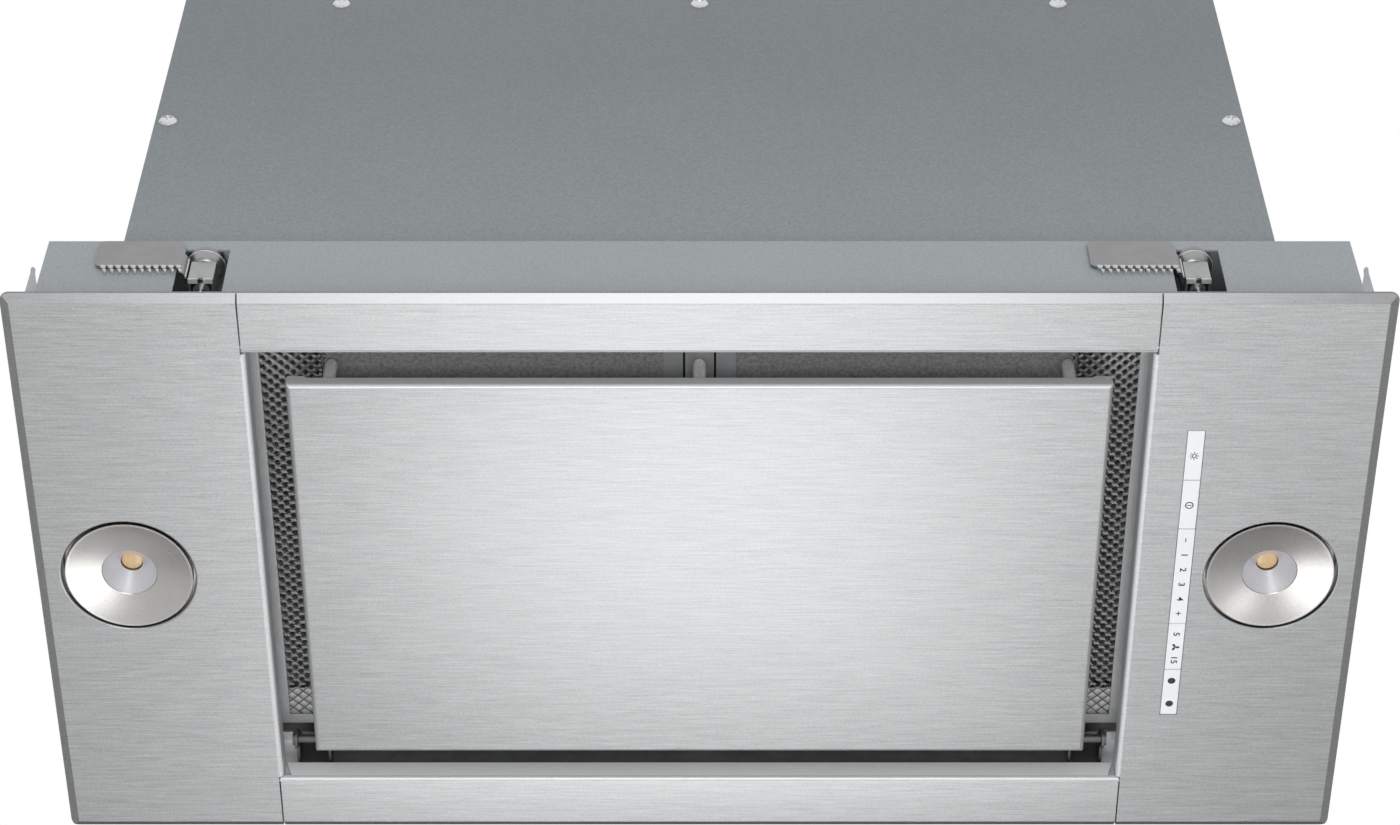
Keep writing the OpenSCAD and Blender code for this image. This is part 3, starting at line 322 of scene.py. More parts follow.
def make_zinc(name, colour, roughness, metallic, painted_light_from=None):
    """Galvanised sheet with soft crystal patches; given a distance from its middle, it carries
    painted shade within it and painted light beyond it
    """
    made, tree, shader = finish_of(name)
    place = here(tree)
    cells = add(tree, "ShaderNodeTexVoronoi", {"feature": "F1"}, Vector=place, Scale=230.0)
    patch = add(tree, "ShaderNodeSeparateColor", Color=cells.outputs["Color"]).outputs["Red"]
    grain = placed(tree, SPECKLE, Place=place, Speck_Scale=700.0, Contrast=0.12)
    tone = maths(tree, "ADD", grain["Tone"], remap(tree, patch, 0.0, 1.0, -0.09, 0.09))
    # painted shade in the middle, behind the suction panel, and painted light at the ends, by
    # distance across
    if painted_light_from:
        across = add(tree, "ShaderNodeSeparateXYZ", Vector=place).outputs["X"]
        tone = maths(tree, "MULTIPLY", tone,
                     remap(tree, maths(tree, "ABSOLUTE", across), painted_light_from - TRAY_BLEND,
                           painted_light_from, TRAY_PAINTED_SHADE, TRAY_PAINTED_LIGHT))
    wire(tree, shader, "Base Color", tinted(tree, colour, tone))
    roughened(tree, shader, patch, roughness, 0.07, 0.0, 1.0)
    shader.inputs["Metallic"].default_value = metallic
    raised(tree, shader, grain["Height"], 0.00002, 0.3)
    return made


def make_board(name):
    """Green board with lighter green runs under its lacquer"""
    made, tree, shader = finish_of(name)
    place = here(tree)
    bricks = add(tree, "ShaderNodeTexBrick", Vector=stretched(tree, place, (300, 300, 300)),
                 Color1=(0.01, 0.09, 0.035, 1), Color2=(0.012, 0.12, 0.05, 1),
                 Mortar=(0.03, 0.2, 0.08, 1))
    grain = noise(tree, place, 900.0, 2.0, 0.5)
    wire(tree, shader, "Base Color", bricks.outputs["Color"])
    wire(tree, shader, "Roughness", remap(tree, grain, 0.3, 0.7, 0.3, 0.42))
    raised(tree, shader, bricks.outputs["Fac"], 0.00004, 0.4)
    return made


def make_key_white(name):
    """White key plastic under a clear gloss"""
    made, tree, shader = finish_of(name)
    grain = placed(tree, SPECKLE, Place=here(tree), Speck_Scale=2200.0, Contrast=0.02)
    wire(tree, shader, "Base Color", tinted(tree, (0.87, 0.895, 0.91), grain["Tone"]))
    wire(tree, shader, "Roughness", remap(tree, grain["Clouds"], 0.3, 0.7, 0.2, 0.27))
    raised(tree, shader, grain["Height"], 0.00001, 0.2)
    return made


def make_phosphor(name):
    """Light source: yellow phosphor under a clear dome"""
    made, tree, shader = finish_of(name)
    place = here(tree)
    dots = add(tree, "ShaderNodeTexVoronoi", {"feature": "F1"}, Vector=place, Scale=900.0)
    grain = placed(tree, SPECKLE, Place=place, Contrast=0.1)
    tone = maths(tree, "ADD", grain["Tone"],
                 remap(tree, dots.outputs["Distance"], 0.0, 0.6, 0.06, -0.1))
    wire(tree, shader, "Base Color", tinted(tree, (0.68, 0.47, 0.25), tone))
    wire(tree, shader, "Roughness", remap(tree, grain["Clouds"], 0.3, 0.7, 0.25, 0.35))
    shader.inputs["Coat Weight"].default_value = 0.6
    raised(tree, shader, grain["Height"], 0.00002, 0.3)
    return made


STAINLESS = make_stainless("brushed_stainless", (0.4, 0.408, 0.412), 0.34, 1.5)
# lit and shaded copies of the stainless: painted light on the upright folds and the rear strip's
# lip, painted highlights on the bends, painted shade on the front bevel and on the suction
# panel's side and rear bends
FOLD_PAINTED_LIGHT = make_stainless("folded_stainless_painted_light", (0.58, 0.59, 0.6), 0.42, 0.5, 0.2)
BEND_PAINTED_HIGHLIGHT = make_stainless("bent_stainless_painted_highlight", (0.62, 0.63, 0.64), 0.34, 0.5, 0.4)
BEVEL_PAINTED_SHADE = make_stainless("front_bevel_painted_shade", (0.25, 0.254, 0.257), 0.3, 0.9)
SIDE_BEND_PAINTED_HIGHLIGHT = make_stainless("side_bend_painted_highlight", (0.86, 0.87, 0.88), 0.3, 0.5, 0.4)
PANEL_EDGE_PAINTED_SHADE = make_stainless("panel_edge_painted_shade", (0.34, 0.345, 0.35), 0.4, 0.5, 0.4)
REAR_LIP_PAINTED_LIGHT = make_stainless("rear_lip_painted_light", (0.95, 0.955, 0.96), 0.4, 0.5, 0.1)
# the collar and the housing get painted shade at their foot, where each meets the part below
POWDER = make_paint("grey_powder_coat", (0.35, 0.376, 0.392), 0.6, 0.5, 850.0,
                    (0.0, 0.007, 0.5))
HOUSING_PAINT = make_paint("housing_powder_coat", (0.27, 0.295, 0.31), 0.75, 0.55, 850.0,
                           (0.0565, 0.069, 0.42))
ZINC = make_zinc("galvanised_sheet", (0.68, 0.69, 0.7), 0.42, 0.45)
# the intake tray: painted shade in its middle and painted light at its ends
TRAY_ZINC_LIT_AND_SHADED = make_zinc("tray_galvanised_painted_light_and_shade", (0.68, 0.69, 0.7), 0.42, 0.45, 0.19)
PLATED = make_plate("plated_steel", (0.66, 0.67, 0.67), 0.3)
CLAW_STEEL = make_plate("claw_steel", (0.27, 0.27, 0.27), 0.42, 0.12, 700.0)
# a lighter, less metallic copy for teeth, rims and feet: painted glints and highlights
TOOTH_STEEL_PAINTED_GLINT = make_plate("tooth_steel_painted_glint", (0.62, 0.63, 0.64), 0.3, 0.5, 700.0, 0.2)
NUT_STEEL = make_plate("nut_steel", (0.35, 0.36, 0.36), 0.32, 0.2, 700.0, 0.8)
BARB_STEEL = make_plate("barb_steel", (0.36, 0.375, 0.39), 0.4, 0.2)
BRIGHT_STEEL = make_plate("bright_plated_steel", (0.6, 0.6, 0.59), 0.25, 0.2)
FILTER_FRAME = make_plate("filter_frame_aluminium", (0.52, 0.53, 0.54), 0.42, 0.16, 420.0, 0.3)
FILTER_NET = make_plate("filter_net_aluminium", (0.6, 0.6, 0.6), 0.4, 0.2)
# a darker copy of the net's aluminium for the bonds: painted shade
FILTER_BOND_PAINTED_SHADE = make_plate("filter_bond_painted_shade", (0.27, 0.27, 0.27), 0.45, 0.2)
FILTER_MARGIN = make_plate("filter_margin_aluminium", (0.9, 0.9, 0.9), 0.45, 0.1, 420.0, 0.2)
FILTER_GAUZE = make_plate("filter_gauze_aluminium", (0.36, 0.36, 0.355), 0.5, 1.8, 620.0, 0.1)
# a lighter, less metallic copy for the frames' middle bars: painted light
FRAME_INNER_PAINTED_LIGHT = make_plate("filter_frame_inner_painted_light", (0.9, 0.91, 0.92), 0.5, 0.2, 600.0, 0.1)
SINK_METAL = make_plate("cast_aluminium", (0.5, 0.5, 0.5), 0.45)
LAMP_METAL = make_satin("satin_lamp_metal", (0.47, 0.458, 0.45), 0.25, 1.0)
LAMP_CONE = make_satin("lamp_cone_metal", (0.66, 0.655, 0.69), 0.34, 0.5)
PEG_GREY = make_satin("peg_metal", (0.9, 0.9, 0.89), 0.25, 0.4)
# a darkened copy of the zinc for parts in the suction panel's shadow: painted shade
ZINC_PAINTED_SHADE = make_plate("zinc_painted_shade", (0.13, 0.13, 0.13), 0.5)
PHOSPHOR = make_phosphor("phosphor")
KEY_WHITE = make_key_white("white_key")
MARK_GREY = make_plastic("mark_grey", (0.012, 0.014, 0.016), 0.5, 0.04)
BLACK = make_plastic("black_plastic", (0.02, 0.02, 0.021), 0.48)
DUCT_GREY = make_plastic("dark_grey_plastic", (0.05, 0.051, 0.054), 0.5)
SCROLL_GREY = make_plastic("scroll_plastic", (0.075, 0.077, 0.08), 0.52)
WHEEL_GREY = make_plastic("wheel_plastic", (0.14, 0.145, 0.15), 0.45)
MOTOR_PAINT = make_paint("motor_paint", (0.03, 0.03, 0.032), 0.1, 0.45)
BOARD = make_board("board_lacquer")


# Piece making

def body_of(node):
    """The body that a CAD node rides on"""
    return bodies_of(nodes[node])[0]


def faired(mesh, angle):
    """Smooth faces, with a crease wherever the surface turns more than the angle"""
    for face in mesh.polygons:
        face.use_smooth = True
    mesh.set_sharp_from_angle(angle=math.radians(angle))


def finished(work, name):
    """The mesh of a working copy, its faces turned outward"""
    bmesh.ops.recalc_face_normals(work, faces=work.faces)
    mesh = bpy.data.meshes.new(name)
    work.to_mesh(mesh)
    work.free()
    return mesh


def joined(work, rings):
    """Faces from each ring of points to the next"""
    for one, other in zip(rings, rings[1:]):
        for i in range(len(one)):
            j = (i + 1) % len(one)
            work.faces.new((one[i], one[j], other[j], other[i]))


def piece(name, mesh, body, finish, slot, *replaced, at=(0, 0, 0)):
    """A mesh in metres as a piece of the hood, in place of the CAD nodes it stands for"""
    made = bpy.data.objects.new(name, mesh)
    made.location = at
    bpy.context.scene.collection.objects.link(made)
    mesh.materials.append(finish)
    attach(made, body)
    if replaced:
        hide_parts(*replaced)
    return made


def cleaned(node):
    """A CAD node's mesh with its flat faces whole and its corners joined"""
    mesh = bpy.data.meshes.new(node + "_mesh")
    work = bmesh.new()
    work.from_mesh(nodes[node].data)
    bmesh.ops.remove_doubles(work, verts=work.verts, dist=2e-6)
    bmesh.ops.dissolve_limit(work, angle_limit=math.radians(0.6), verts=work.verts,
                             edges=work.edges)
    work.to_mesh(mesh)
    work.free()
    for attribute in [a for a in mesh.attributes if a.name == "custom_normal"]:
        mesh.attributes.remove(attribute)
    return mesh


BEVEL_FROM = -138 * MM
OPENING_X = 200 * MM
OPENING_Y = 125 * MM
LAMP_OUT = 0.6 * MM
LAMP_AHEAD = 0.4 * MM
HOLE_SHARE = 29.25 / 30.0
HOLE_REGION = 31 * MM
HOLE_ROLL = 0.85 * MM
FAR_EDGE_SHIFT = 1.2 * MM
LIP_END_SHIFT = 3.0 * MM
LIP_END_Y = 118 * MM
FRAME_BAR_X = 18 * MM
SHEET_TURN = 22.0


def fold_light_and_shade(mesh, lip, bend):
    """Copies of the sheet's finish that paint light and shade on it: painted shade on its front
    bevel, painted light on the upright folds round the opening, a painted highlight on the front
    bends, and the given finish on the other bends
    """
    for finish in (lip, BEND_PAINTED_HIGHLIGHT, bend, BEVEL_PAINTED_SHADE):
        mesh.materials.append(finish)
    upright, front_bend, other_bend, bevel = 1, 2, 3, 4
    for face in mesh.polygons:
        # the front bevel takes the darker copy: painted shade
        if face.normal.y < -0.3 and face.center.y < BEVEL_FROM:
            face.material_index = bevel
        inside = abs(face.center.x) < OPENING_X and abs(face.center.y) < OPENING_Y
        if inside and abs(face.normal.z) < 0.97:
            # front bends take the painted highlight, the other bends the given bend finish
            bent = front_bend if face.normal.y < -0.2 else other_bend
            face.material_index = upright if abs(face.normal.z) < 0.2 else bent


def lamp_place(side):
    """Middle of a lamp and of its hole: just outside and ahead of the solid's"""
    low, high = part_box("lamp_reflector_" + side)
    outward = -LAMP_OUT if side == "left" else LAMP_OUT
    return (low.x + high.x) / 2 + outward, (low.y + high.y) / 2 - LAMP_AHEAD


def lamp_hole(mesh, side):
    """The lamp's hole in a side sheet: its place, its radius and the roll of its lower edge"""
    low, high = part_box("lamp_reflector_" + side)
    old = (low + high) / 2
    new = lamp_place(side)
    work = bmesh.new()
    work.from_mesh(mesh)
    ring = [vert for vert in work.verts
            if math.hypot(vert.co.x - old.x, vert.co.y - old.y) < HOLE_REGION]
    face_z = min(vert.co.z for vert in ring)
    for vert in ring:
        vert.co.x = new[0] + (vert.co.x - old.x) * HOLE_SHARE
        vert.co.y = new[1] + (vert.co.y - old.y) * HOLE_SHARE
    lower = {vert for vert in ring if vert.co.z < face_z + 0.1 * MM}
    edges = [edge for edge in work.edges if set(edge.verts) <= lower]
    bmesh.ops.bevel(work, geom=edges, offset=HOLE_ROLL, offset_type="OFFSET", segments=5,
                    profile=0.5, affect="EDGES", clamp_overlap=True)
    work.to_mesh(mesh)
    work.free()


def crease_round_hole(mesh):
    """The flat of a side sheet stays flat up to the roll round its lamp hole"""
    work = bmesh.new()
    work.from_mesh(mesh)
    for edge in work.edges:
        levels = sorted(abs(face.normal.z) for face in edge.link_faces)
        if len(levels) == 2 and levels[1] > 0.9999 and 0.9 < levels[0] < 0.9995:
            edge.smooth = False
    work.to_mesh(mesh)
    work.free()


def fitted(node, mesh):
    """Small shifts of a fascia sheet: its lamp hole, its far edge, its lip's ends"""
    if node in ("fascia_left", "fascia_right"):
        lamp_hole(mesh, node[7:])
    for vert in mesh.vertices:
        if node == "deflector_panel" and vert.co.y > 0:
            vert.co.y += FAR_EDGE_SHIFT
        if node == "rear_strip" and vert.co.z > 0.2 * MM and vert.co.y < LIP_END_Y:
            vert.co.x += math.copysign(LIP_END_SHIFT, vert.co.x)


def rounded(node, slot, finish, width):
    """A CAD node's shape with its edges rounded over"""
    mesh = cleaned(node)
    made = piece(node + "_formed", mesh, body_of(node), finish, slot, node)
    if finish is STAINLESS:
        fitted(node, mesh)
        # painted light on the rear strip's lip; painted shade on the suction panel's side and
        # rear bends, a painted highlight on the other sheets' bends
        fold_light_and_shade(mesh, REAR_LIP_PAINTED_LIGHT if node == "rear_strip" else FOLD_PAINTED_LIGHT,
               PANEL_EDGE_PAINTED_SHADE if node == "deflector_panel" else SIDE_BEND_PAINTED_HIGHLIGHT)
    # the middle bars of the filter frames take the lighter copy: painted light
    if finish is FILTER_FRAME:
        mesh.materials.append(FRAME_INNER_PAINTED_LIGHT)
        for face in mesh.polygons:
            face.material_index = int(abs(face.center.x) < FRAME_BAR_X)
    faired(mesh, SHEET_TURN)
    if node in ("fascia_left", "fascia_right"):
        crease_round_hole(mesh)
    bevel = made.modifiers.new("edges", "BEVEL")
    bevel.width = width
    bevel.segments = 2
    bevel.limit_method = "ANGLE"
    bevel.angle_limit = math.radians(SHEET_TURN)
    bevel.harden_normals = True
    bevel.use_clamp_overlap = True


def dressed(node, finish):
    """A CAD node whose shape is right gets its finish"""
    for place in nodes[node].material_slots:
        place.link = "OBJECT"
        place.material = finish


# Fascia, suction panel, collar and housing

ROUNDED = (
    ("stainless", STAINLESS, 0.4,
     ("fascia_left", "fascia_right", "front_strip", "rear_strip", "deflector_panel")),
    ("grey_paint", POWDER, 0.3, ("collar",)),
    ("grey_paint", HOUSING_PAINT, 0.3, ("housing_body", "housing_front", "housing_top")),
    ("zinc_sheet", TRAY_ZINC_LIT_AND_SHADED, 0.2, ("intake_tray",)),
    ("zinc_sheet", ZINC, 0.2, ("centre_bar", "motor_bracket")),
    # the backing and the hinge brackets take the darkened zinc: painted shade
    ("zinc_sheet", ZINC_PAINTED_SHADE, 0.2, ("deflector_backing", "hinge_brackets")),
    ("plated_steel", BRIGHT_STEEL, 0.15, ("catch_clips",)),
    ("plated_steel", BARB_STEEL, 0.15, ("side_barbs",)),
    ("filter_aluminium", FILTER_FRAME, 0.25, ("filter_frame_left", "filter_frame_right")),
    ("black_plastic", BLACK, 0.3,
     ("filter_latch_left", "filter_latch_right", "electronics_box", "flap_front",
      "flap_rear")),
    ("key_face", KEY_WHITE, 0.25,
     ("key_light", "key_power", "key_level", "key_timer", "key_filter")),
)
for slot_name, finish, width, names in ROUNDED:
    for node in names:
        rounded(node, slot_name, finish, width * MM)

KEPT = {
    "catch_pegs": PEG_GREY, "hinge_pins": ZINC_PAINTED_SHADE, "housing_screws": PLATED,
    "shelf_rivets": PLATED, "lamp_heatsink_left": SINK_METAL,
    "lamp_heatsink_right": SINK_METAL, "control_housing": BLACK, "control_board": BOARD,
    "fan_scroll": SCROLL_GREY, "fan_motor": MOTOR_PAINT, "impeller": WHEEL_GREY,
    "exhaust_spigot": DUCT_GREY, "flap_pin": PLATED, "cable_gland": BLACK,
    "clamp_screw_1": PLATED, "clamp_screw_2": PLATED, "clamp_screw_3": PLATED,
    "clamp_screw_4": PLATED,
}
for node, finish in KEPT.items():
    dressed(node, finish)


# Filter nets

NET_LONG = 5.1 * MM
NET_SHORT = 4.8 * MM
STRAND_W = 1.25 * MM
STRAND_T = 0.3 * MM
BOND_LONG = 2.5 * MM
BOND_SHORT = 1.3 * MM
MARGIN_FROM = 88.0 * MM
MARGIN_W = 0.8 * MM
GAUZE_TO = -40.0 * MM
GAUZE_X = 160.0 * MM


def net_layer(points, faces, x_range, y_range, z, thick, lean, width=STRAND_W):
    """Expanded metal: short strands from bond to bond, all leaning the same way"""
    across = Vector((0, math.cos(lean), math.sin(lean))) * (width / 2)
    depth = Vector((0, -math.sin(lean), math.cos(lean))) * (STRAND_T / 2)
    columns = int((x_range[1] - x_range[0]) / (NET_LONG / 2))
    rows = int((y_range[1] - y_range[0]) / (NET_SHORT / 2))
    for column in range(columns):
        for row in range(1, rows):
            if (column + row) % 2:
                continue
            start = Vector((x_range[0] + column * NET_LONG / 2,
                            y_range[0] + row * NET_SHORT / 2, z))
            for step in (-1, 1):
                end = start + Vector((NET_LONG / 2, step * NET_SHORT / 2, 0))
                first = len(points)
                if thick:
                    for place in (start, end):
                        points += [place - across - depth, place + across - depth,
                                   place + across + depth, place - across + depth]
                    faces += [(first + i, first + (i + 1) % 4, first + 4 + (i + 1) % 4,
                               first + 4 + i) for i in range(4)]
                else:
                    points += [start - across, start + across, end + across, end - across]
                    faces.append((first, first + 1, first + 2, first + 3))


def net_bonds(points, faces, x_range, y_range, z):
    """The flat bonds where the strands of the lowest layer meet"""
    columns = int((x_range[1] - x_range[0]) / (NET_LONG / 2))
    rows = int((y_range[1] - y_range[0]) / (NET_SHORT / 2))
    for column in range(1, columns):
        for row in range(1, rows):
            if (column + row) % 2:
                continue
            x = x_range[0] + column * NET_LONG / 2
            y = y_range[0] + row * NET_SHORT / 2
            if y > MARGIN_FROM or y < GAUZE_TO and abs(x) < GAUZE_X:
                continue
            first = len(points)
            skew = BOND_SHORT * 0.35
            points += [Vector((x + i * BOND_LONG / 2 + j * skew, y + j * BOND_SHORT / 2, z))
                       for i, j in ((-1, -1), (1, -1), (1, 1), (-1, 1))]
            faces.append((first, first + 1, first + 2, first + 3))


def make_net(side):
    node = "filter_mesh_" + side
    low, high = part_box(node)
    points, faces = [], []
    x_range = (low.x + 4 * MM, high.x - 4 * MM)
    y_range = (low.y + 2 * MM, high.y - 2 * MM)
    levels = (low.z + 0.7 * MM, (low.z + high.z) / 2, high.z - 0.7 * MM)
    rows_to = int((MARGIN_FROM - y_range[0]) / NET_SHORT)
    middle = y_range[0] + rows_to * NET_SHORT
    net_layer(points, faces, x_range, (y_range[0], middle), levels[0], True,
              math.radians(-32))
    bonds_from = len(faces)
    net_layer(points, faces, x_range, (middle, y_range[1]), levels[0], True, 0.0, MARGIN_W)
    net_bonds(points, faces, x_range, y_range, levels[0] - 0.5 * MM)
    bonds_to = len(faces)
    net_layer(points, faces, x_range, y_range, levels[1], False, math.radians(32))
    net_layer(points, faces, x_range, y_range, levels[2], False, math.radians(-32))
    gauze_x = (max(x_range[0], -GAUZE_X), min(x_range[1], GAUZE_X))
    for across, start, end, z in (
            (x_range, MARGIN_FROM, y_range[1], levels[0] + 1.1 * MM),
            (gauze_x, y_range[0], GAUZE_TO, levels[0] - 0.45 * MM)):
        first = len(points)
        points += [Vector((x, y, z)) for x, y in
                   ((across[0], start), (across[1], start), (across[1], end),
                    (across[0], end))]
        faces.append((first, first + 1, first + 2, first + 3))
    mesh = bpy.data.meshes.new(node + "_net")
    mesh.from_pydata([tuple(p) for p in points], [], faces)
    piece(node + "_net", mesh, body_of(node), FILTER_NET, "filter_mesh", node)
    mesh.materials.append(FILTER_BOND_PAINTED_SHADE)
    mesh.materials.append(FILTER_MARGIN)
    mesh.materials.append(FILTER_GAUZE)
    # the bonds take the darker copy: painted shade
    for i in range(bonds_from, bonds_to):
        mesh.polygons[i].material_index = 1
    mesh.polygons[-2].material_index = 2
    mesh.polygons[-1].material_index = 3


for side in ("left", "right"):
    make_net(side)


# Lamps

def lathed(name, profile, steps):
    """A profile of radius and height turned round Z"""
    work = bmesh.new()
    rings = []
    for radius, height in profile:
        rings.append([work.verts.new((radius * math.cos(a), radius * math.sin(a), height))
                      for a in (2 * math.pi * i / steps for i in range(steps))])
    joined(work, rings)
    return finished(work, name)


CONE_EDGE = 11.9 * MM
SOURCE_R = 4.7


def dish_profile():
    """Lamp body from the rim over the shallow dish and down the inner cone, then its back"""
    rim_r, dish_r, cone_r, hole_r = 27.95, 27.6, 12.2, 4.9
    front = [(rim_r, -3.1), (rim_r - 0.1, -3.3), (dish_r, -3.32)]
    for i in range(1, 17):
        t = i / 16
        front.append((dish_r + (cone_r - dish_r) * t, -3.32 + 2.6 * t + 0.7 * t * (1 - t)))
    front += [(cone_r - 0.15, -0.62), (cone_r - 0.35, -0.4)]
    for i in range(1, 9):
        t = i / 8
        front.append((cone_r - 0.35 + (hole_r - cone_r + 0.35) * t, -0.4 + 7.3 * t))
    back = [(hole_r, 7.9), (hole_r + 0.9, 8.0), (cone_r + 0.6, 0.4), (24.2, -1.2),
            (25.25, 1.0), (25.25, 9.5), (26.25, 9.5), (26.25, 3.5), (30.4, 3.5),
            (30.4, -1.5), (31.45, -1.5), (31.45, -2.45), (29.2, -2.45), (29.2, 2.6),
            (rim_r, 2.6), (rim_r, -3.1)]
    return [(r * MM, z * MM) for r, z in front + back]


def make_lamp(side):
    at = lamp_place(side) + (0,)
    dish = piece("lamp_dish_" + side, lathed("lamp_dish_" + side, dish_profile(), 128),
                 body_of("lamp_reflector_" + side), LAMP_METAL, "lamp_metal",
                 "lamp_reflector_" + side, at=at)
    dish.data.materials.append(LAMP_CONE)
    for face in dish.data.polygons:
        from_axis = math.hypot(face.center.x, face.center.y)
        if from_axis < CONE_EDGE and face.normal.z < 0:
            face.material_index = 1
    faired(dish.data, 24)
    low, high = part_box("lamp_led_" + side)
    base, top = low.z / MM, high.z / MM
    crown = base + 0.8
    dome = [(SOURCE_R * math.cos(a), crown + 0.6 - 0.6 * math.sin(a))
            for a in (math.pi / 2 * i / 8 for i in range(8))]
    dome = [(SOURCE_R, top)] + dome + [(0.01, crown)]
    source = piece("lamp_source_" + side,
                   lathed("lamp_source_" + side, [(r * MM, z * MM) for r, z in dome], 64),
                   body_of("lamp_led_" + side), PHOSPHOR, "lamp_source",
                   "lamp_led_" + side, at=at)
    faired(source.data, 50)


for side in ("left", "right"):
    make_lamp(side)


# Cabinet clamps: a toothed claw and its nut on each of the four screws

PLATE_BACK = -7.5
PLATE_FACE = -8.7
CLAW_REACH = 45.3
CLAW_LOW = 34.0
CLAW_TOP = 53.9
TEETH = 11
TOOTH_PITCH = 3.2
FIRST_TOOTH = -CLAW_REACH + 3.4
NECK_LOW = 31.2 * MM
NECK_HIGH = 32.9 * MM
NUT_FRONT = -5.4
NUT_LOW = 28.5
NUT_HALF = 5.3


def solid(work, outline, low, high, upright):
    """A solid of one outline between two levels: along Y when upright, else along Z"""
    rings = []
    for level in (low, high):
        places = [(a, level, b) if upright else (a, b, level) for a, b in outline]
        rings.append([work.verts.new([v * MM for v in place]) for place in places])
    joined(work, rings)
    work.faces.new(rings[0])
    work.faces.new(rings[1])


def arc(x, y, radius, start, stop, steps):
    """Points of an arc, its angles in degrees"""
    return [(x + radius * math.cos(math.radians(start + (stop - start) * i / steps)),
             y + radius * math.sin(math.radians(start + (stop - start) * i / steps)))
            for i in range(steps + 1)]


def hoop(radius):
    """48 points of a full turn round the clamp's screw"""
    return arc(0, 0, radius, 0, 352.5, 47)


def turned(work, profile):
    """A profile of radius and height turned once round the clamp's screw"""
    joined(work, [[work.verts.new((x * MM, y * MM, z * MM)) for x, y in hoop(radius)]
                  for radius, z in profile])


def tooth(work, x):
    """One tooth: rolled forward at the plate's edge, then bent back to its point"""
    path = [(-8.5, 34.6), (-9.3, 34.0), (-9.3, 33.3), (-8.6, 32.7), (-8.5, 31.7),
            (-9.2, 31.1), (-9.1, 30.5), (-8.6, 29.9)]
    widths = [2.2, 2.3, 2.2, 1.2, 0.5, 1.5, 1.3, 0.5]
    rings = []
    for (y, z), wide in zip(path, widths):
        lean = (34.6 - z) * 0.35
        rings.append([work.verts.new((MM * (x + sx * wide / 2 + lean), MM * (y + sy), MM * z))
                      for sx, sy in ((-1, 0), (1, 0), (1, 0.7), (-1, 0.7))])
    joined(work, rings)
    work.faces.new(rings[0])
    work.faces.new(rings[-1])


def claw_mesh(name):
    """Claw in two finishes: the plate with its fold and disc, then the teeth in a lighter copy
    that paints glints on them, their necks left in the plate's finish
    """
    work = bmesh.new()
    plate = (arc(-CLAW_REACH + 2.5, CLAW_LOW + 2.5, 2.5, 270, 180, 6)
             + arc(-CLAW_REACH + 2.5, CLAW_TOP - 2.5, 2.5, 180, 90, 6)
             + [(-10.5, CLAW_TOP), (-9.0, CLAW_TOP - 2.6), (-7.9, 46.0), (-7.9, 36.0),
                (-9.5, CLAW_LOW)])
    solid(work, plate, PLATE_FACE, PLATE_BACK, True)
    # Fold from the plate to the disc that turns on the nut
    fold = [(-9.2, -8.2), (-8.6, -8.7), (-7.6, -8.4), (-6.8, -7.4), (-6.4, -5.6), (-6.3, -3.0),
            (-7.1, -3.0), (-7.3, -5.4), (-7.8, -7.2)]
    solid(work, fold, 29.2, 43.6, False)
    disc = arc(0, 0, 8.5, 195, 380, 36) + [(6.2, 4.4), (-6.2, 4.4)]
    solid(work, disc, 47.6, 49.4, False)
    plain = len(work.faces)
    solid(work, [(-6.6, -6.6), (-6.0, -6.6), (-6.0, -5.6), (-6.6, -5.6)], 29.4, 43.2, False)
    for i in range(TEETH):
        tooth(work, FIRST_TOOTH + i * TOOTH_PITCH)
    # the teeth take the lighter copy, a painted glint in two rows; their necks keep the plate's
    # finish
    for i, face in enumerate(work.faces):
        neck = NECK_LOW < face.calc_center_median().z < NECK_HIGH
        face.material_index = int(i >= plain and not neck)
    return finished(work, name)


def nut_mesh(name):
    """Pressed nut: a box under a flared rim, and a slotted foot; rim and foot carry a painted
    highlight
    """
    work = bmesh.new()
    front, low, half = NUT_FRONT, NUT_LOW, NUT_HALF
    solid(work, [(-half, low), (-1.1, low), (-1.1, low + 1.2), (1.1, low + 1.2), (1.1, low),
                 (half, low), (half, 42.6), (-half, 42.6)], front, front + 1.0, True)
    solid(work, [(-half, front + 1.0), (half, front + 1.0), (half, 5.0), (-half, 5.0)],
          41.6, 42.6, False)
    for side in (-1, 1):
        wall = [(side * half, front + 1.0), (side * 4.4, front + 1.0), (side * 4.4, 5.0),
                (side * half, 5.0)]
        solid(work, wall, low, 41.6, False)
    turned(work, ((3.6, 42.7), (5.4, 42.75), (6.3, 43.4), (7.5, 44.9), (8.1, 46.1), (8.3, 46.6)))
    turned(work, ((8.35, 47.3), (3.6, 47.5)))
    solid(work, hoop(3.5), low + 0.2, 47.4, False)
    plain = len(work.faces)
    turned(work, ((8.3, 46.6), (8.6, 46.85), (8.6, 47.1), (8.35, 47.3)))
    for side in (-1, 1):
        foot = [(side * 1.2, front - 0.8), (side * 5.2, front - 0.8), (side * 5.2, front + 1.4),
                (side * 1.2, front + 1.4)]
        solid(work, foot, 27.5, 28.4, False)
    for i, face in enumerate(work.faces):
        face.material_index = int(i >= plain)
    return finished(work, name)


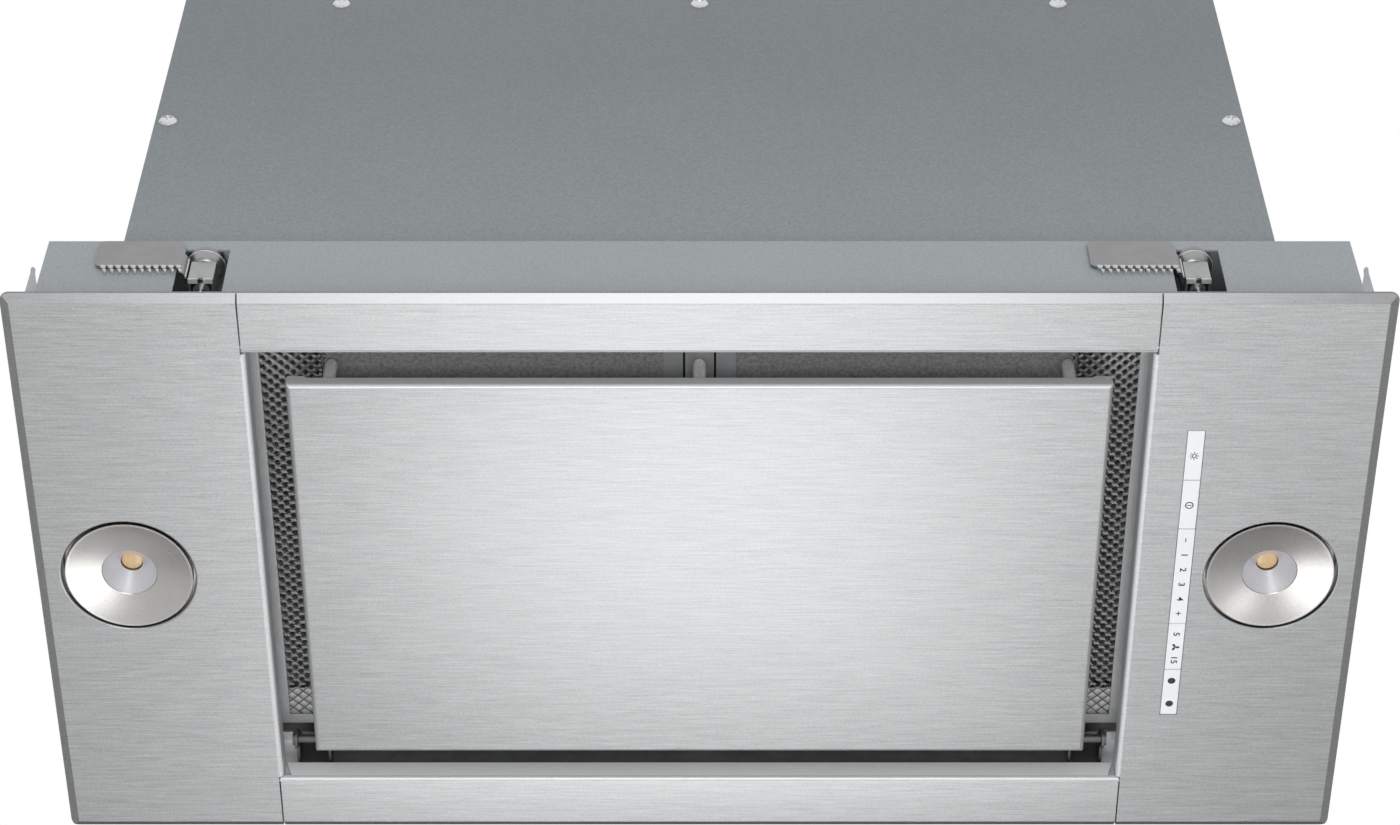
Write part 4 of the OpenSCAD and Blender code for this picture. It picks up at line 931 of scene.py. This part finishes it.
def make_clamp(number):
    low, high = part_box("clamp_screw_%d" % number)
    at = ((low.x + high.x) / 2, (low.y + high.y) / 2, 0)
    for kind, mesh, finish in (("claw", claw_mesh("claw_plate_%d" % number), CLAW_STEEL),
                               ("nut", nut_mesh("claw_nut_%d" % number), NUT_STEEL)):
        node = "clamp_%s_%d" % (kind, number)
        made = piece(node + "_pressed", mesh, body_of(node), finish, "plated_steel", node, at=at)
        # the lighter second finish paints glints and highlights on the teeth, the rim and the
        # foot
        mesh.materials.append(TOOTH_STEEL_PAINTED_GLINT)
        if at[1] > 0:
            made.data.transform(Matrix.Rotation(math.pi, 4, "Z"))
        faired(mesh, 35)


for number in range(1, 5):
    make_clamp(number)


# Marks on the keys: plain numbers and signs, read from the cook's left

MARK_X = 211.0
MARK_Z = -3.475
STROKE = 0.42
NUMBER_SIZE = 3.9
NUMBER_PITCH = 8.1


def mark_point(along, up):
    """A point of a mark: along the strip towards the rear, and up towards the right"""
    return ((MARK_X + up) * MM, along * MM, MARK_Z * MM)


def flat_faces(shapes):
    """Outlines in mark measures, as thin plates"""
    points, faces = [], []
    for shape in shapes:
        first = len(points)
        points += [mark_point(a, u) for a, u in shape]
        faces.append(tuple(range(first, first + len(shape))))
    return points, faces


def ring_parts(along, up, inner, outer, steps=28):
    """A ring as small plates"""
    parts = []
    for i in range(steps):
        a, b = 2 * math.pi * i / steps, 2 * math.pi * (i + 1) / steps
        parts.append([(along + inner * math.cos(a), up + inner * math.sin(a)),
                      (along + outer * math.cos(a), up + outer * math.sin(a)),
                      (along + outer * math.cos(b), up + outer * math.sin(b)),
                      (along + inner * math.cos(b), up + inner * math.sin(b))])
    return parts


def bar_part(along, up, length, width, angle=0.0):
    """A straight stroke round its middle"""
    u = (math.cos(angle) * length / 2, math.sin(angle) * length / 2)
    v = (-math.sin(angle) * width / 2, math.cos(angle) * width / 2)
    return [(along + i * u[0] + j * v[0], up + i * u[1] + j * v[1])
            for i, j in ((-1, -1), (1, -1), (1, 1), (-1, 1))]


def sun_parts(along, up):
    parts = ring_parts(along, up, 0.7, 1.1, 20)
    for i in range(8):
        a = math.pi / 4 * i
        parts.append(bar_part(along + 1.7 * math.cos(a), up + 1.7 * math.sin(a), 0.7, 0.4, a))
    return parts


def blade_part(along, up, angle):
    """One blade of the fan sign"""
    outline = [(0.1, -0.3), (1.0, -0.62), (1.8, -0.5), (2.0, 0.0), (1.8, 0.5), (1.0, 0.5),
               (0.1, 0.3)]
    c, s = math.cos(angle), math.sin(angle)
    return [(along + x * c - y * s, up + x * s + y * c) for x, y in outline]


def number_mesh(text, along):
    """A number in plain type, turned to read along the strip"""
    letters = bpy.data.curves.new("number", "FONT")
    letters.body = text
    letters.size = NUMBER_SIZE
    letters.align_x = "CENTER"
    letters.align_y = "CENTER"
    letters.offset = 0.07
    letters.resolution_u = 4
    shown = bpy.data.objects.new("number", letters)
    bpy.context.scene.collection.objects.link(shown)
    bpy.context.view_layer.update()
    mesh = bpy.data.meshes.new_from_object(shown.evaluated_get(
        bpy.context.evaluated_depsgraph_get()))
    bpy.data.objects.remove(shown)
    points = [mark_point(along + 1.2 * v.co.x, v.co.y) for v in mesh.vertices]
    faces = [tuple(f.vertices) for f in mesh.polygons]
    bpy.data.meshes.remove(mesh)
    return points, faces


def make_marks(key, groups):
    """All the marks of one key as one thin piece"""
    points, faces = [], []
    for more_points, more_faces in groups:
        first = len(points)
        points += more_points
        faces += [tuple(first + i for i in face) for face in more_faces]
    mesh = bpy.data.meshes.new(key + "_marks")
    mesh.from_pydata(points, [], faces)
    piece(key + "_marks", mesh, body_of(key), MARK_GREY, "black_plastic")


make_marks("key_light", [flat_faces(sun_parts(-65.1, 0))])
make_marks("key_power", [flat_faces(ring_parts(-38.9, 0, 1.35, 1.85)
                                    + [bar_part(-38.9, 0, STROKE, 1.9)])])
make_marks("key_level",
           [flat_faces([bar_part(-20.1, 0, 2.0, STROKE), bar_part(20.4, 0, 2.4, STROKE),
                        bar_part(20.4, 0, STROKE, 2.4)])]
           + [number_mesh(str(i + 1), -12.0 + NUMBER_PITCH * i) for i in range(4)])
make_marks("key_timer",
           [number_mesh("5", 32.1), number_mesh("15", 46.6),
            flat_faces([blade_part(39.4, 0, math.radians(a)) for a in (90, 210, 330)])])


def make_windows():
    """Two dark round windows in the rear key"""
    work = bmesh.new()
    for along in (58.7, 71.9):
        rings = []
        for radius, z in ((1.75, -3.45), (1.72, -3.475), (1.5, -3.485), (1.1, -3.49)):
            rings.append([work.verts.new(((MARK_X + radius * math.cos(a)) * MM,
                                          (along + radius * math.sin(a)) * MM, z * MM))
                          for a in (2 * math.pi * i / 40 for i in range(40))])
        for inner, outer in zip(rings, rings[1:]):
            for i in range(40):
                j = (i + 1) % 40
                work.faces.new((inner[i], outer[i], outer[j], inner[j]))
        work.faces.new(rings[-1])
    mesh = finished(work, "key_windows")
    piece("key_windows", mesh, body_of("key_filter"), BLACK, "black_plastic")
    faired(mesh, 40)


make_windows()


# Floor, light and camera

def plane(name, size, place, finish, turn=(0, 0, 0)):
    mesh = bpy.data.meshes.new(name)
    work = bmesh.new()
    bmesh.ops.create_grid(work, x_segments=1, y_segments=1, size=0.5)
    bmesh.ops.scale(work, vec=(size[0], size[1], 1), verts=work.verts)
    work.to_mesh(mesh)
    work.free()
    made = bpy.data.objects.new(name, mesh)
    made.location = place
    made.rotation_euler = turn
    bpy.context.scene.collection.objects.link(made)
    mesh.materials.append(finish)
    return made


def soft_light(name, place, aim, size, radiance):
    """A soft box of a given brightness, turned towards a point"""
    lamp = bpy.data.lights.new(name, "AREA")
    lamp.shape = "RECTANGLE"
    lamp.size, lamp.size_y = size
    lamp.energy = math.pi * size[0] * size[1] * radiance
    made = bpy.data.objects.new(name, lamp)
    made.location = place
    made.rotation_euler = (Vector(aim) - Vector(place)).to_track_quat("-Z", "Y").to_euler()
    made.visible_camera = False
    bpy.context.scene.collection.objects.link(made)


def make_floor_finish():
    made, tree, shader = finish_of("pale_floor")
    grain = noise(tree, here(tree), 40.0, 3.0, 0.5)
    wire(tree, shader, "Base Color",
         tinted(tree, (0.86, 0.86, 0.86), remap(tree, grain, 0.3, 0.7, 0.98, 1.02)))
    shader.inputs["Roughness"].default_value = 0.9
    return made


def make_world():
    world = bpy.data.worlds.new("studio")
    bpy.context.scene.world = world
    world.use_nodes = True
    tree = world.node_tree
    tree.nodes.clear()
    path = tree.nodes.new("ShaderNodeLightPath").outputs
    direct = maths(tree, "ADD", path["Is Camera Ray"],
                   maths(tree, "ADD", path["Is Glossy Ray"], path["Is Transmission Ray"]))
    shown = add(tree, "ShaderNodeBackground", Color=(1, 1, 1, 1),
                Strength=remap(tree, direct, 0.0, 1.0, 0.6, 1.0))
    out = tree.nodes.new("ShaderNodeOutputWorld")
    tree.links.new(shown.outputs[0], out.inputs["Surface"])


def make_screen_finish(name, colour):
    """Cloth for the screens that stand beside and behind the hood"""
    made, tree, shader = finish_of(name)
    weave = noise(tree, here(tree), 60.0, 2.0, 0.5)
    wire(tree, shader, "Base Color",
         tinted(tree, colour, remap(tree, weave, 0.3, 0.7, 0.95, 1.05)))
    shader.inputs["Roughness"].default_value = 0.95
    return made


def screen(name, size, place, turn, finish):
    made = plane(name, size, place, finish, turn)
    made.visible_camera = False
    made.visible_shadow = False


# Camera: focal length and picture width in the same unit, tilt in degrees, distance in metres
# from the front edge, and how far the edge lies from the picture's middle
FOCAL, PICTURE_W, SENSOR_W = 3443.0, 1400.0, 36.0
TILT = math.radians(55.0)
DISTANCE = 1.4236
EDGE_RISE = 119.8


def make_camera():
    """Camera below and in front, looking up at the face"""
    lens = bpy.data.cameras.new("camera")
    lens.sensor_width = SENSOR_W
    lens.lens = FOCAL / PICTURE_W * SENSOR_W
    lens.clip_start = 0.01
    lens.clip_end = 50.0
    made = bpy.data.objects.new("camera", lens)
    ahead = Vector((0, math.cos(TILT), math.sin(TILT)))
    up = Vector((0, -ahead.z, ahead.y))
    edge = Vector((0.0002, -0.1465, -0.001))
    stand = edge - ahead * DISTANCE - up * (EDGE_RISE / FOCAL * DISTANCE)
    turn = Matrix((Vector((1, 0, 0)), up, -ahead)).transposed().to_4x4()
    made.matrix_world = Matrix.Translation(stand) @ turn
    bpy.context.scene.collection.objects.link(made)
    bpy.context.scene.camera = made


make_world()
make_camera()
plane("floor", (9, 9), (0, 0, -1.9), make_floor_finish())
SCREEN = make_screen_finish("pale_screen", (0.7, 0.7, 0.7))
REAR_SCREEN = make_screen_finish("grey_screen", (0.26, 0.26, 0.26))
UPRIGHT = math.pi / 2
screen("screen_left", (3.4, 2.6), (-1.7, 0.6, -0.3), (UPRIGHT, 0, UPRIGHT), SCREEN)
screen("screen_right", (3.4, 2.6), (1.7, 0.6, -0.3), (UPRIGHT, 0, UPRIGHT), SCREEN)
screen("screen_rear", (3.4, 4.0), (0, 2.6, 0.6), (UPRIGHT, 0, 0), REAR_SCREEN)
soft_light("under_box", (0, -0.02, -1.85), (0, -0.02, 0), (4.0, 3.56), 0.42)
soft_light("rear_box", (-0.02, 1.06, -1.65), (-0.02, 0.6, 0), (0.74, 0.85), 2.3)
soft_light("low_box", (-0.03, -1.06, -1.8), (-0.03, -0.2, 0), (0.95, 0.9), 4.7)
soft_light("front_box", (-0.05, -1.75, -1.2), (0, -0.1, 0), (0.6, 0.5), 0.9)
soft_light("far_box", (-0.68, 2.5, -1.84), (-0.68, 2.5, 0), (1.2, 1.0), 0.35)
soft_light("side_box", (0.88, 0.82, -1.8), (0.88, 0.82, 0), (0.34, 0.34), 2.4)

bpy.context.scene.view_settings.view_transform = "Standard"
